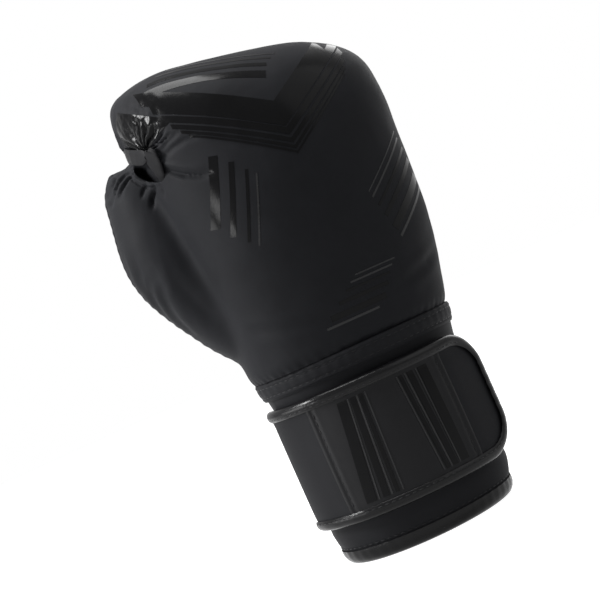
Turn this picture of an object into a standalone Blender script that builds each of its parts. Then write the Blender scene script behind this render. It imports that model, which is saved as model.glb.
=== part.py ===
"""Boxing glove for the right hand, with a padded mitt, a slit cuff and a hook-and-loop strap.

The glove stands on its cuff mouth. +Z runs from the cuff to the knuckles, -Y is the back of the hand,
+Y is the palm and -X is the thumb side. Run it with blender --background --python part.py.
"""

import math

import bmesh
import bpy
import numpy as np
from mathutils import Vector

mm = 0.001

# Place of the cuff's own axis, so that the whole glove is centred on the origin.
cuff_axis_x = 12.5 * mm
cuff_axis_y = -2.8 * mm

# Clearances between pieces that touch on the real glove.
seam_gap = 0.3 * mm
cut_margin = 30.0 * mm

# Sheet and foam thicknesses.
cover_thickness = 1.5 * mm
liner_thickness = 1.0 * mm
cuff_pad_thickness = 7.0 * mm

# Height of the joint between cuff and mitt.
joint_height = 116.0 * mm

# Cuff: an oval tube, drawn in at the hem and flared towards the mitt.
cuff_half_width = 57.0 * mm
cuff_half_depth = 46.5 * mm
hem_draw_in = 6.0 * mm
hem_middle_draw_in = 1.5 * mm
hem_draw_height = 34.0 * mm
flare_out = 4.0 * mm
flare_height = 22.0 * mm

# Slit in the palm side of the cuff, with its bound edges and the gusset behind it.
slit_offset = 4.0 * mm
slit_half_width_hem = 5.5 * mm
slit_half_width_top = 2.5 * mm
slit_top = 92.0 * mm
gusset_half_width = 17.0 * mm
gusset_low = 14.0 * mm
gusset_above_slit = 11.0 * mm

# Binding tape.
binding_thickness = 1.0 * mm
hem_binding_height = 9.0 * mm
slit_binding_width = 8.0 * mm
strap_binding_width = 6.5 * mm

# Stitched band round the cuff, just below the mitt.
band_height = 11.0 * mm
band_thickness = 1.4 * mm

# Mitt: fist form, from its lower edge to the top of the knuckles.
mitt_top = 297.0 * mm
fist_thumb_side = 78.5 * mm
fist_finger_side = 76.0 * mm
fist_back = 69.0 * mm
fist_curl = 75.0 * mm

# Thumb: an oval tube beside the fist.
thumb_tip_drop = 29.0 * mm
thumb_base_drop = 1.0 * mm
thumb_tip_z = mitt_top - thumb_tip_drop
thumb_base_z = joint_height - thumb_base_drop
thumb_out = 71.0 * mm
thumb_palmward = 21.0 * mm
thumb_half_width = 28.5 * mm
thumb_half_depth = 33.0 * mm
thumb_panel_margin = 1.0 * mm

# Hand compartment.
hand_half_width = 44.0 * mm
hand_back = 28.0 * mm
hand_palm = 27.0 * mm
finger_pocket_depth = 46.0 * mm
knuckle_padding = 43.0 * mm
hand_top_z = mitt_top - knuckle_padding
thumb_room = 14.0 * mm
thumb_tip_padding = 20.0 * mm
thumb_room_tip_z = thumb_tip_z - thumb_tip_padding

# Grip bar across the finger pocket.
grip_radius = 10.5 * mm
grip_y = 18.0 * mm
grip_below_pocket_top = 41.0 * mm

# Seams that divide the cover and the padding.
palm_seam_y = 22.0 * mm
curl_seam_drop = 99.0 * mm
thumb_seam_x = -50.0 * mm
thumb_pad_rise = 30.0 * mm

# Thumb lock: the tab between thumb tip and fist.
lock_width = 18.0 * mm
lock_thickness = 2.6 * mm
lock_reach = 34.0 * mm
lock_inside_fist = 5.0 * mm
lock_behind_thumb = 7.0 * mm
lock_slant = math.radians(14.0)

# Strap, measured round the cuff from the middle of the back of the hand.
strap_height = 72.0 * mm
strap_below_band = 6.8 * mm
strap_high = joint_height - band_height - strap_below_band
strap_low = strap_high - strap_height
flap_end = 57.0 * mm
flap_corner = 21.0 * mm
flap_hinge = -82.0 * mm
flap_skin = 0.8 * mm
flap_foam_thickness = 1.6 * mm
patch_start = -50.0 * mm
patch_end = 28.0 * mm
patch_thickness = 1.1 * mm
patch_edge_gap = 0.4 * mm
loop_thickness = 0.8 * mm
hook_thickness = 0.8 * mm
loop_start = -40.0 * mm
loop_end = 50.0 * mm
hook_start = -8.0 * mm
hook_end = 45.0 * mm
tape_margin = 12.0 * mm
elastic_margin = 4.0 * mm
elastic_thickness = 1.8 * mm
root_line = -185.0 * mm
root_tab_length = 26.0 * mm
joint_gap = 0.5 * mm
hinge_clearance = 0.1 * mm

# Blank label inside the cuff.
label_width = 30.0 * mm
label_height = 22.0 * mm
label_thickness = 0.4 * mm
label_low = 16.0 * mm
label_turn = -6.0 * mm

# Fineness of the surfaces.
fist_points = 12
thumb_points = 8
hand_points = 10
wrap_count = 38
corner_points = 5
grip_segments = 16
arc_samples = 2881
merge_distance = 0.001 * mm
smooth_angle = math.radians(40.0)

# How full the rings of the soft forms are: 1 is an ellipse, less is squarer.
ring_squareness = 0.88
# How far round a ring, as a share of its depth, the tuck beside the thumb is reached.
tuck_blend = 0.6

# Shape of the fist, as shares of the sizes above: height, thumb side, tuck beside the thumb,
# finger side, back, palm, and how far the ring leans up towards the thumb side.
fist_shape = (
    (-0.06, 0.80, 0.80, 0.78, 0.71, 0.66, 0.00),
    (0.03, 0.83, 0.79, 0.81, 0.74, 0.66, 0.00),
    (0.14, 0.845, 0.74, 0.885, 0.80, 0.61, 0.00),
    (0.27, 0.86, 0.69, 0.94, 0.88, 0.57, 0.00),
    (0.39, 0.89, 0.68, 0.955, 0.95, 0.56, 0.00),
    (0.47, 0.91, 0.68, 0.967, 0.98, 0.63, 0.00),
    (0.56, 0.93, 0.69, 0.967, 1.00, 0.90, 0.00),
    (0.68, 0.96, 0.73, 1.00, 1.00, 0.99, 0.02),
    (0.79, 1.00, 0.84, 0.99, 0.96, 1.00, 0.05),
    (0.88, 1.02, 0.94, 0.96, 0.86, 0.93, 0.10),
    (0.96, 0.93, 0.85, 0.80, 0.63, 0.73, 0.13),
    (1.00, 0.55, 0.52, 0.44, 0.30, 0.42, 0.13),
)

# Shape of the thumb: height, how far out its middle lies, how far to the palm, width, depth.
thumb_shape = (
    (0.00, 0.46, 0.30, 0.60, 0.60),
    (0.18, 0.695, 0.54, 0.82, 0.82),
    (0.35, 0.875, 0.72, 0.93, 0.95),
    (0.53, 1.03, 0.87, 1.00, 1.00),
    (0.71, 1.027, 0.97, 0.96, 0.98),
    (0.86, 1.025, 1.02, 0.90, 0.90),
    (0.96, 1.03, 1.04, 0.72, 0.68),
)

# Shape of the hand compartment: height, thumb side, finger side, back, palm and finger pocket.
hand_shape = (
    (-0.10, 1.06, 1.06, 1.28, 1.34, 0.0),
    (0.10, 1.00, 1.02, 1.14, 1.14, 0.0),
    (0.38, 0.94, 1.04, 1.00, 0.98, 0.0),
    (0.60, 0.90, 1.04, 1.00, 1.00, 0.15),
    (0.74, 0.86, 1.00, 1.00, 1.00, 0.95),
    (0.90, 0.80, 0.92, 0.90, 1.00, 1.00),
    (1.00, 0.55, 0.60, 0.50, 0.60, 0.70),
)


def make_material(name, colour, roughness, metallic=0.0):
    material = bpy.data.materials.new(name)
    material.use_nodes = True
    shader = material.node_tree.nodes["Principled BSDF"]
    shader.inputs["Base Color"].default_value = (*colour, 1.0)
    shader.inputs["Roughness"].default_value = roughness
    shader.inputs["Metallic"].default_value = metallic
    material.diffuse_color = (*colour, 1.0)
    return material


def clear_scene():
    for obj in list(bpy.data.objects):
        bpy.data.objects.remove(obj)


def add_object(name, mesh, collection, parent):
    obj = bpy.data.objects.new(name, mesh)
    collection.objects.link(obj)
    obj.parent = parent
    return obj


def mesh_from(bm, name):
    """The finished mesh, with all of its faces pointing out."""
    bmesh.ops.recalc_face_normals(bm, faces=bm.faces)
    if bm.calc_volume(signed=True) < 0.0:
        bmesh.ops.reverse_faces(bm, faces=bm.faces)
    mesh = bpy.data.meshes.new(name)
    bm.to_mesh(mesh)
    bm.free()
    return mesh


def finish(obj, material):
    """Gives a piece its material and smooth shading between its sharp edges."""
    obj.data.materials.append(material)
    obj.data.shade_smooth()
    obj.data.set_sharp_from_angle(angle=smooth_angle)


# --- soft forms: rings of unlike shape, lofted into a cage that Subdivision Surface rounds ---


def cage_growth(points):
    """How much larger a cage ring is than the round surface that subdivision makes from it."""
    return 6.0 / (4.0 + 2.0 * math.cos(2.0 * math.pi / points))


def ring(points, z, low_x, tuck_x, high_x, low_y, high_y, lean=0.0, centre=(0.0, 0.0)):
    """One closed ring. low_x is its reach to the thumb side, tuck_x the same on the palm half."""
    growth = cage_growth(points)
    found = []
    for step in range(points):
        angle = 2.0 * math.pi * (step + 0.5) / points
        across, along = math.cos(angle), math.sin(angle)
        share = min(1.0, max(0.0, along) / tuck_blend)
        reach_x = high_x if across > 0 else low_x + (tuck_x - low_x) * share
        reach_y = high_y if along > 0 else low_y
        x = growth * reach_x * math.copysign(abs(across) ** ring_squareness, across)
        y = growth * reach_y * math.copysign(abs(along) ** ring_squareness, along)
        found.append(Vector((centre[0] + x, centre[1] + y, z - lean * x)))
    return found


def loft(name, rings, collection, parent):
    """A closed cage through the rings, with a flat end at each end."""
    bm = bmesh.new()
    loops = [[bm.verts.new(point) for point in points] for points in rings]
    count = len(loops[0])
    for lower, upper in zip(loops, loops[1:]):
        for step in range(count):
            after = (step + 1) % count
            bm.faces.new((lower[step], lower[after], upper[after], upper[step]))
    bm.faces.new(reversed(loops[0]))
    bm.faces.new(loops[-1])
    return add_object(name, mesh_from(bm, name), collection, parent)


def fist_rings():
    length = mitt_top - joint_height
    return [
        ring(
            fist_points,
            joint_height + height * length,
            thumb * fist_thumb_side,
            tuck * fist_thumb_side,
            finger * fist_finger_side,
            back * fist_back,
            palm * fist_curl,
            lean,
        )
        for height, thumb, tuck, finger, back, palm, lean in fist_shape
    ]


def thumb_rings(half_width, half_depth, tip_z):
    """Rings up the thumb's bent axis, from its base to that tip."""
    found = []
    for height, out, palmward, width, depth in thumb_shape:
        z = thumb_base_z + height * (tip_z - thumb_base_z)
        reach_x, reach_y = width * half_width, depth * half_depth
        centre = (-out * thumb_out, palmward * thumb_palmward)
        found.append(
            ring(thumb_points, z, reach_x, reach_x, reach_x, reach_y, reach_y, centre=centre)
        )
    return found


def thumb_form_rings():
    """The outside of the thumb."""
    return thumb_rings(thumb_half_width, thumb_half_depth, thumb_tip_z)


def thumb_room_rings():
    """The room inside the thumb."""
    return thumb_rings(thumb_room, thumb_room, thumb_room_tip_z)


def hand_rings():
    found = []
    for height, thumb, finger, back, palm, pocket in hand_shape:
        z = joint_height + height * (hand_top_z - joint_height)
        depth = palm * (hand_palm + pocket * (finger_pocket_depth - hand_palm))
        reach_x = thumb * hand_half_width
        found.append(
            ring(hand_points, z, reach_x, reach_x, finger * hand_half_width, back * hand_back, depth)
        )
    return found


def rounded(obj, offset=0.0):
    """Rounds a cage and moves its surface out by offset, or in where it is negative.

    The quads are split alike at every offset, so that nested walls stay clear of each other.
    """
    subdivision = obj.modifiers.new("round", "SUBSURF")
    subdivision.levels = 1
    subdivision.render_levels = 1
    triangles = obj.modifiers.new("triangles", "TRIANGULATE")
    triangles.quad_method = "FIXED"
    if offset:
        displace = obj.modifiers.new("offset", "DISPLACE")
        displace.strength = offset
        displace.mid_level = 0.0
    return obj


def boolean(obj, other, operation, solver="EXACT"):
    modifier = obj.modifiers.new(operation.lower(), "BOOLEAN")
    modifier.operation = operation
    modifier.object = other
    modifier.solver = solver
    return obj


def trim(obj, region, operation):
    """Cuts a piece of the mitt along a seam. EXACT loses these nested walls, so this is MANIFOLD."""
    return boolean(obj, region, operation, "MANIFOLD")


def hide_helper(obj):
    obj.hide_render = True
    obj.display_type = "WIRE"
    return obj


# --- helpers for the mitt: volumes that cut or limit its pieces ---


def form_pair(name, offset, cutters, parent):
    """The fist and thumb forms at one offset, joined into one volume."""
    thumb = loft(f"{name}_thumb", thumb_form_rings(), cutters, parent)
    hide_helper(rounded(thumb, offset))
    fist = loft(f"{name}_fist", fist_rings(), cutters, parent)
    hide_helper(rounded(fist, offset))
    return boolean(fist, thumb, "UNION")


def room_pair(name, offset, cutters, parent):
    """The hand compartment and the thumb's room at one offset, joined into one volume."""
    thumb = loft(f"{name}_thumb", thumb_room_rings(), cutters, parent)
    hide_helper(rounded(thumb, offset))
    hand = loft(f"{name}_hand", hand_rings(), cutters, parent)
    hide_helper(rounded(hand, offset))
    return boolean(hand, thumb, "UNION")


def block(name, low, high, cutters, parent):
    """A box between two corners, as a cutter."""
    bm = bmesh.new()
    bmesh.ops.create_cube(bm, size=1.0)
    size = Vector(high) - Vector(low)
    middle = (Vector(high) + Vector(low)) / 2.0
    bmesh.ops.scale(bm, vec=size, verts=bm.verts)
    bmesh.ops.translate(bm, vec=middle, verts=bm.verts)
    return hide_helper(add_object(name, mesh_from(bm, name), cutters, parent))


def mitt_reach():
    """A length that is safely past the mitt on every side."""
    thumb_reach = thumb_out + thumb_half_width
    return max(fist_thumb_side, fist_finger_side, fist_back, fist_curl, thumb_reach) + cut_margin


def above_cuff(name, cutters, parent):
    """Everything above the joint of cuff and mitt."""
    far = mitt_reach()
    low = (-far, -far, joint_height + seam_gap / 2)
    return block(name, low, (far, far, mitt_top + cut_margin), cutters, parent)


def palm_block(name, grow, cutters, parent):
    """The region of the palm: palm side of the side seam, below the seam under the finger curl."""
    far = mitt_reach()
    low = (thumb_seam_x - grow, palm_seam_y - grow, joint_height - cut_margin)
    high = (far, far, mitt_top - curl_seam_drop + grow)
    return block(name, low, high, cutters, parent)


def thumb_palm_region(name, grow, cutters, parent):
    """The region of the thumb's palm side: the palm half of the thumb's form."""
    far = mitt_reach()
    region = loft(name, thumb_form_rings(), cutters, parent)
    hide_helper(rounded(region, thumb_panel_margin + grow))
    low = (-far, palm_seam_y - grow, joint_height - cut_margin)
    high = (thumb_seam_x - seam_gap + grow, far, thumb_tip_z + cut_margin)
    return trim(region, block(f"{name}_half", low, high, cutters, parent), "INTERSECT")


def thumb_pad_block(name, grow, cutters, parent):
    """The region of the thumb's padding."""
    far = mitt_reach()
    low = (-far, -grow, thumb_base_z + thumb_pad_rise - grow)
    high = (thumb_seam_x - seam_gap + grow, far, thumb_tip_z + seam_gap + grow)
    return block(name, low, high, cutters, parent)


def mitt_cover(name, cutters, parts, parent):
    """The whole cover of fist and thumb as one thin wall, open at the wrist."""
    cover = loft(name, fist_rings(), parts, parent)
    rounded(cover)
    thumb = loft(f"{name}_thumb", thumb_form_rings(), cutters, parent)
    boolean(cover, hide_helper(rounded(thumb)), "UNION")
    boolean(cover, form_pair(f"{name}_inside", -cover_thickness, cutters, parent), "DIFFERENCE")
    boolean(cover, above_cuff(f"{name}_above", cutters, parent), "INTERSECT")
    return cover


def mitt_padding(name, cutters, parts, parent):
    """The whole padding of fist and thumb, with the hand's and thumb's rooms taken out."""
    inset = -(cover_thickness + seam_gap)
    padding = loft(name, fist_rings(), parts, parent)
    rounded(padding, inset)
    thumb = loft(f"{name}_thumb", thumb_form_rings(), cutters, parent)
    boolean(padding, hide_helper(rounded(thumb, inset)), "UNION")
    room = room_pair(f"{name}_room", liner_thickness + seam_gap, cutters, parent)
    boolean(padding, room, "DIFFERENCE")
    boolean(padding, above_cuff(f"{name}_above", cutters, parent), "INTERSECT")
    return padding


def make_covers(cutters, parts, parent, leather):
    palm = mitt_cover("palm_panel", cutters, parts, parent)
    trim(palm, palm_block("palm_panel_region", 0.0, cutters, parent), "INTERSECT")

    thumb_palm = mitt_cover("thumb_palm_panel", cutters, parts, parent)
    region = thumb_palm_region("thumb_palm_region", 0.0, cutters, parent)
    trim(thumb_palm, region, "INTERSECT")

    back = mitt_cover("back_panel", cutters, parts, parent)
    trim(back, palm_block("back_palm_region", seam_gap, cutters, parent), "DIFFERENCE")
    trim(back, thumb_palm_region("back_thumb_region", seam_gap, cutters, parent), "DIFFERENCE")

    for cover in (palm, thumb_palm, back):
        finish(cover, leather)


def make_padding(cutters, parts, parent, foam):
    palm = mitt_padding("palm_pad", cutters, parts, parent)
    trim(palm, palm_block("palm_pad_region", 0.0, cutters, parent), "INTERSECT")

    thumb = mitt_padding("thumb_pad", cutters, parts, parent)
    trim(thumb, thumb_pad_block("thumb_pad_region", 0.0, cutters, parent), "INTERSECT")

    knuckle = mitt_padding("knuckle_pad", cutters, parts, parent)
    trim(knuckle, palm_block("knuckle_palm_region", seam_gap, cutters, parent), "DIFFERENCE")
    trim(knuckle, thumb_pad_block("knuckle_thumb_region", seam_gap, cutters, parent), "DIFFERENCE")

    for pad in (palm, thumb, knuckle):
        finish(pad, foam)


def make_hand_liner(cutters, parts, parent, fabric):
    liner = loft("hand_liner", hand_rings(), parts, parent)
    rounded(liner, liner_thickness)
    thumb = loft("hand_liner_thumb", thumb_room_rings(), cutters, parent)
    boolean(liner, hide_helper(rounded(thumb, liner_thickness)), "UNION")
    boolean(liner, room_pair("hand_liner_room", 0.0, cutters, parent), "DIFFERENCE")
    boolean(liner, above_cuff("hand_liner_above", cutters, parent), "INTERSECT")
    finish(liner, fabric)


def make_grip_bar(cutters, parts, parent, leather):
    """A padded roll that the fingers close on. Its ends follow the liner's walls."""
    bm = bmesh.new()
    length = 2.0 * (hand_half_width + cut_margin)
    bmesh.ops.create_cone(
        bm,
        cap_ends=True,
        segments=grip_segments,
        radius1=grip_radius,
        radius2=grip_radius,
        depth=length,
    )
    bar = add_object("grip_bar", mesh_from(bm, "grip_bar"), parts, parent)
    bar.location = (0.0, grip_y, hand_top_z - grip_below_pocket_top)
    bar.rotation_euler = (0.0, math.radians(90.0), 0.0)
    room = loft("grip_bar_room", hand_rings(), cutters, parent)
    boolean(bar, hide_helper(rounded(room, -seam_gap)), "INTERSECT")
    finish(bar, leather)


def make_thumb_lock(cutters, parts, parent, leather):
    """The tab sewn between thumb tip and fist. Its ends follow the cover."""
    bm = bmesh.new()
    bmesh.ops.create_cube(bm, size=1.0)
    bmesh.ops.scale(bm, vec=(lock_thickness, lock_width, lock_reach), verts=bm.verts)
    lock = add_object("thumb_lock", mesh_from(bm, "thumb_lock"), parts, parent)
    across = -fist_thumb_side + lock_inside_fist
    lock.location = (across, thumb_palmward - lock_behind_thumb, thumb_tip_z)
    lock.rotation_euler = (0.0, lock_slant, 0.0)
    boolean(lock, form_pair("thumb_lock_clear", seam_gap, cutters, parent), "DIFFERENCE")
    finish(lock, leather)


# --- pieces wrapped round the cuff: made flat, then bent to the oval ---


def slope_heights():
    """Heights where the cuff's wall changes its slope. Between them it is straight."""
    return 0.0, hem_draw_height / 2.0, hem_draw_height, joint_height - flare_height, joint_height


def cuff_reach(z):
    """Half width and half depth of the cuff at a height."""
    drawn = np.interp(z, slope_heights(), (hem_draw_in, hem_middle_draw_in, 0.0, 0.0, -flare_out))
    return cuff_half_width - drawn, cuff_half_depth - drawn


def arc_table():
    """Distance round the cuff from the middle of the back, against the oval's own angle."""
    angles = np.linspace(-2.0 * math.pi, 2.0 * math.pi, arc_samples) - math.pi / 2.0
    x = cuff_half_width * np.cos(angles)
    y = cuff_half_depth * np.sin(angles)
    steps = np.hypot(np.diff(x), np.diff(y))
    distance = np.concatenate([[0.0], np.cumsum(steps)])
    start = np.interp(-math.pi / 2.0, angles, distance)
    return distance - start, angles


arc_distance, arc_angle = arc_table()


def cuff_round():
    """The whole way round the cuff."""
    return float(arc_distance[-1] - arc_distance[0]) / 2.0


def wrap_step():
    """The width of one flat facet of the cuff."""
    return cuff_round() / wrap_count


def palm_middle():
    """The middle of the palm side, going round past the finger side."""
    return cuff_round() / 2.0


def facet_corner(number, z, out):
    """A point on the line between two facets, at that height and that far out from the cover."""
    angle = float(np.interp(number * wrap_step(), arc_distance, arc_angle))
    reach_x, reach_y = cuff_reach(z)
    normal = Vector((math.cos(angle) / reach_x, math.sin(angle) / reach_y, 0.0)).normalized()
    return Vector((reach_x * math.cos(angle), reach_y * math.sin(angle), z)) + out * normal


def on_cuff(around, z, out):
    """The point that lies that far round the cuff, at that height and that far out from its cover."""
    number = math.floor(around / wrap_step())
    share = around / wrap_step() - number
    return facet_corner(number, z, out).lerp(facet_corner(number + 1, z, out), share)


def slice_flat(bm, axis, places):
    """Cuts the flat mesh at each place along an axis, so that it can bend there."""
    reached = [vertex.co[axis] for vertex in bm.verts]
    for place in places:
        if min(reached) < place < max(reached):
            point, normal = Vector(), Vector()
            point[axis], normal[axis] = place, 1.0
            bmesh.ops.bisect_plane(
                bm,
                geom=bm.verts[:] + bm.edges[:] + bm.faces[:],
                plane_co=point,
                plane_no=normal,
                dist=merge_distance,
            )


def bend(bm, name, parts, parent):
    """Bends a flat mesh, (distance round, height, offset), on to the facets of the cuff."""
    slice_flat(bm, 0, [number * wrap_step() for number in range(-wrap_count, wrap_count)])
    slice_flat(bm, 1, slope_heights())
    for vertex in bm.verts:
        vertex.co = on_cuff(*vertex.co)
    return add_object(name, mesh_from(bm, name), parts, parent)


def wrapped_sheet(name, outline, inner, outer, parts, parent):
    """A sheet cut to a flat outline, (distance round, height), and wrapped between two offsets."""
    bm = bmesh.new()
    face = bm.faces.new([bm.verts.new((around, z, inner)) for around, z in outline])
    made = bmesh.ops.extrude_face_region(bm, geom=[face])
    lifted = [item for item in made["geom"] if isinstance(item, bmesh.types.BMVert)]
    bmesh.ops.translate(bm, vec=(0.0, 0.0, outer - inner), verts=lifted)
    return bend(bm, name, parts, parent)


def swept(name, loops, parts, parent):
    """A flat body through a row of like loops of points, closed at both ends and bent on to the cuff."""
    bm = bmesh.new()
    rows = [[bm.verts.new(point) for point in loop] for loop in loops]
    count = len(rows[0])
    for before, after in zip(rows, rows[1:]):
        for step in range(count):
            other = (step + 1) % count
            bm.faces.new((before[step], before[other], after[other], after[step]))
    bm.faces.new(reversed(rows[0]))
    bm.faces.new(rows[-1])
    return bend(bm, name, parts, parent)


def wrapped_bar(name, profile, start, end, parts, parent):
    """A profile of (height, offset) points, drawn round the cuff from start to end."""
    loops = [[(around, z, out) for z, out in profile] for around in (start, end)]
    return swept(name, loops, parts, parent)


def wrapped_channel(name, path, profile, parts, parent):
    """A profile of (side, offset) points swept along a flat path. side is to the path's left."""
    loops = []
    for index, point in enumerate(path):
        before = Vector(path[max(0, index - 1)])
        after = Vector(path[min(len(path) - 1, index + 1)])
        heading = (after - before).normalized()
        left = Vector((-heading.y, heading.x))
        loop = []
        for side, out in profile:
            loop.append((point[0] + left.x * side, point[1] + left.y * side, out))
        loops.append(loop)
    return swept(name, loops, parts, parent)


def channel_profile(width, low, high):
    """A U round an edge: it covers width on both faces of a sheet that lies from low to high."""
    thick = binding_thickness
    return (
        (width, high + seam_gap),
        (width, high + seam_gap + thick),
        (-seam_gap - thick, high + seam_gap + thick),
        (-seam_gap - thick, low - seam_gap - thick),
        (width, low - seam_gap - thick),
        (width, low - seam_gap),
        (-seam_gap, low - seam_gap),
        (-seam_gap, high + seam_gap),
    )


def corner(centre, radius, start, end):
    """Points of a rounded corner, from one angle to the other, in degrees."""
    found = []
    for step in range(corner_points + 1):
        angle = math.radians(start + (end - start) * step / corner_points)
        found.append((centre[0] + radius * math.cos(angle), centre[1] + radius * math.sin(angle)))
    return found


def slit_half_width(z):
    return slit_half_width_hem + (slit_half_width_top - slit_half_width_hem) * z / slit_top


def cuff_outline(bottom, top):
    """The cuff laid flat, from one edge of the slit round the back of the hand to the other.

    Above the slit the two edges meet, apart from the seam between them.
    """
    middle = palm_middle() - slit_offset
    other = middle - cuff_round()
    half_seam = seam_gap / 2.0
    low_half, high_half = slit_half_width(bottom), slit_half_width_top
    return [
        (other + low_half, bottom),
        (middle - low_half, bottom),
        (middle - high_half, slit_top),
        (middle - half_seam, slit_top + 2.0 * high_half),
        (middle - half_seam, top),
        (other + half_seam, top),
        (other + half_seam, slit_top + 2.0 * high_half),
        (other + high_half, slit_top),
    ]


def cuff_layers():
    """Offsets of cover, padding and liner, each (inner, outer), from the outside in."""
    cover = (-cover_thickness, 0.0)
    pad_outer = cover[0] - seam_gap
    pad = (pad_outer - cuff_pad_thickness, pad_outer)
    liner_outer = pad[0] - seam_gap
    return cover, pad, (liner_outer - liner_thickness, liner_outer)


def make_cuff(parts, parent, leather, foam, fabric, binding):
    cover, pad, liner = cuff_layers()
    bottom, top = binding_thickness + seam_gap, joint_height - seam_gap / 2
    for name, layer, material in (
        ("cuff_cover", cover, leather),
        ("cuff_pad", pad, foam),
        ("cuff_liner", liner, fabric),
    ):
        piece = wrapped_sheet(name, cuff_outline(bottom, top), *layer, parts, parent)
        finish(piece, material)

    outline = cuff_outline(bottom, top)
    start, end = outline[0][0], outline[1][0]
    thick = binding_thickness
    inner, outer = liner[0] - seam_gap, cover[1] + seam_gap
    profile = (
        (hem_binding_height, outer),
        (hem_binding_height, outer + thick),
        (0.0, outer + thick),
        (0.0, inner - thick),
        (hem_binding_height, inner - thick),
        (hem_binding_height, inner),
        (thick, inner),
        (thick, outer),
    )
    hem = wrapped_bar("hem_binding", profile, start, end, parts, parent)
    finish(hem, binding)

    profile = channel_profile(slit_binding_width, liner[0], cover[1])
    low, high = hem_binding_height + seam_gap, slit_top - seam_gap
    for name, side in (("slit_binding_finger", 1.0), ("slit_binding_thumb", -1.0)):
        middle = palm_middle() - slit_offset - (0.0 if side > 0 else cuff_round())
        path = [(middle - side * slit_half_width(z), z) for z in (low, high)]
        if side < 0:
            path.reverse()
        finish(wrapped_channel(name, path, profile, parts, parent), binding)


def make_gusset(parts, parent, elastic):
    """The elastic tongue behind the slit. It lies inside the liner and the slit's bindings."""
    inner_face = cuff_layers()[2][0] - 2.0 * seam_gap - binding_thickness
    middle = palm_middle() - slit_offset
    outline = [
        (middle - gusset_half_width, gusset_low),
        (middle + gusset_half_width, gusset_low),
        (middle + gusset_half_width, slit_top + gusset_above_slit),
        (middle - gusset_half_width, slit_top + gusset_above_slit),
    ]
    low = inner_face - liner_thickness
    finish(wrapped_sheet("slit_gusset", outline, low, inner_face, parts, parent), elastic)


def make_label(parts, parent, fabric):
    """A blank woven label on the liner, inside the back of the cuff."""
    inner_face = cuff_layers()[2][0] - seam_gap
    outline = [
        (label_turn - label_width / 2, label_low),
        (label_turn + label_width / 2, label_low),
        (label_turn + label_width / 2, label_low + label_height),
        (label_turn - label_width / 2, label_low + label_height),
    ]
    low = inner_face - label_thickness
    finish(wrapped_sheet("inner_label", outline, low, inner_face, parts, parent), fabric)


def make_wrist_band(parts, parent, leather):
    """The stitched band round the top of the cuff. The mitt's lower edge stands on it."""
    low, high = joint_height - band_height, joint_height - seam_gap / 2
    inner, outer = seam_gap, seam_gap + band_thickness
    profile = ((low, inner), (low, outer), (high, outer), (high, inner))
    bm = bmesh.new()
    loops = []
    for number in range(wrap_count):
        loops.append([bm.verts.new(facet_corner(number, z, out)) for z, out in profile])
    for before, after in zip(loops, loops[1:] + loops[:1]):
        for step in range(len(profile)):
            other = (step + 1) % len(profile)
            bm.faces.new((before[step], before[other], after[other], after[step]))
    band = add_object("wrist_band", mesh_from(bm, "wrist_band"), parts, parent)
    finish(band, leather)


# --- strap ---


def loop_offsets():
    return seam_gap, seam_gap + loop_thickness


def hook_offsets():
    low = loop_offsets()[1] + seam_gap
    return low, low + hook_thickness


def flap_lining_offsets():
    low = hook_offsets()[1] + seam_gap
    return low, low + flap_skin


def flap_foam_offsets():
    low = flap_lining_offsets()[1] + seam_gap
    return low, low + flap_foam_thickness


def flap_face_offsets(thickness):
    low = flap_foam_offsets()[1] + seam_gap
    return low, low + thickness


def flap_edge_offsets():
    """From the flap's inner face to its outer one, as its binding has to reach."""
    return flap_lining_offsets()[0], flap_face_offsets(patch_thickness)[1]


def elastic_offsets():
    """The elastic leads into the flap between its two faces."""
    low = flap_lining_offsets()[0]
    return low, low + elastic_thickness


def hinge_place(around, out):
    """The middle of a hinge line, which runs up the strap that far round and that far out."""
    return on_cuff(around, (strap_low + strap_high) / 2.0, out + hinge_clearance)


def add_hinges(parts, parent):
    """Empties on the hinge of the elastic and, hanging from it, on the hinge of the flap."""
    swing = bpy.data.objects.new("stretch_swing", None)
    swing.location = hinge_place(root_line, elastic_offsets()[1])
    swing.parent = parent
    peel = bpy.data.objects.new("flap_peel", None)
    out = flap_edge_offsets()[1] + seam_gap + binding_thickness
    peel.location = hinge_place(flap_hinge, out) - swing.location
    peel.parent = swing
    parts.objects.link(swing)
    parts.objects.link(peel)
    return swing, peel


def hang(obj, hinge):
    """Hangs a piece on a hinge's empty, without moving it from where it lies on the cuff."""
    place = Vector()
    above = hinge
    while above.parent:
        place += above.location
        above = above.parent
    obj.parent = hinge
    obj.location = -place


def flap_outline():
    """The flap laid flat: square at the hinge, round corners at its free end."""
    centre_low = (flap_end - flap_corner, strap_low + flap_corner)
    centre_high = (flap_end - flap_corner, strap_high - flap_corner)
    return [
        (flap_hinge + joint_gap / 2, strap_low),
        *corner(centre_low, flap_corner, -90.0, 0.0),
        *corner(centre_high, flap_corner, 0.0, 90.0),
        (flap_hinge + joint_gap / 2, strap_high),
    ]


def clip(outline, place, side):
    """The part of an outline on one side of a line across it."""
    found = []
    for index, point in enumerate(outline):
        after = outline[(index + 1) % len(outline)]
        inside = (point[0] - place) * side >= 0.0
        inside_after = (after[0] - place) * side >= 0.0
        if inside:
            found.append(point)
        if inside != inside_after:
            share = (place - point[0]) / (after[0] - point[0])
            found.append((place, point[1] + share * (after[1] - point[1])))
    return found


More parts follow.
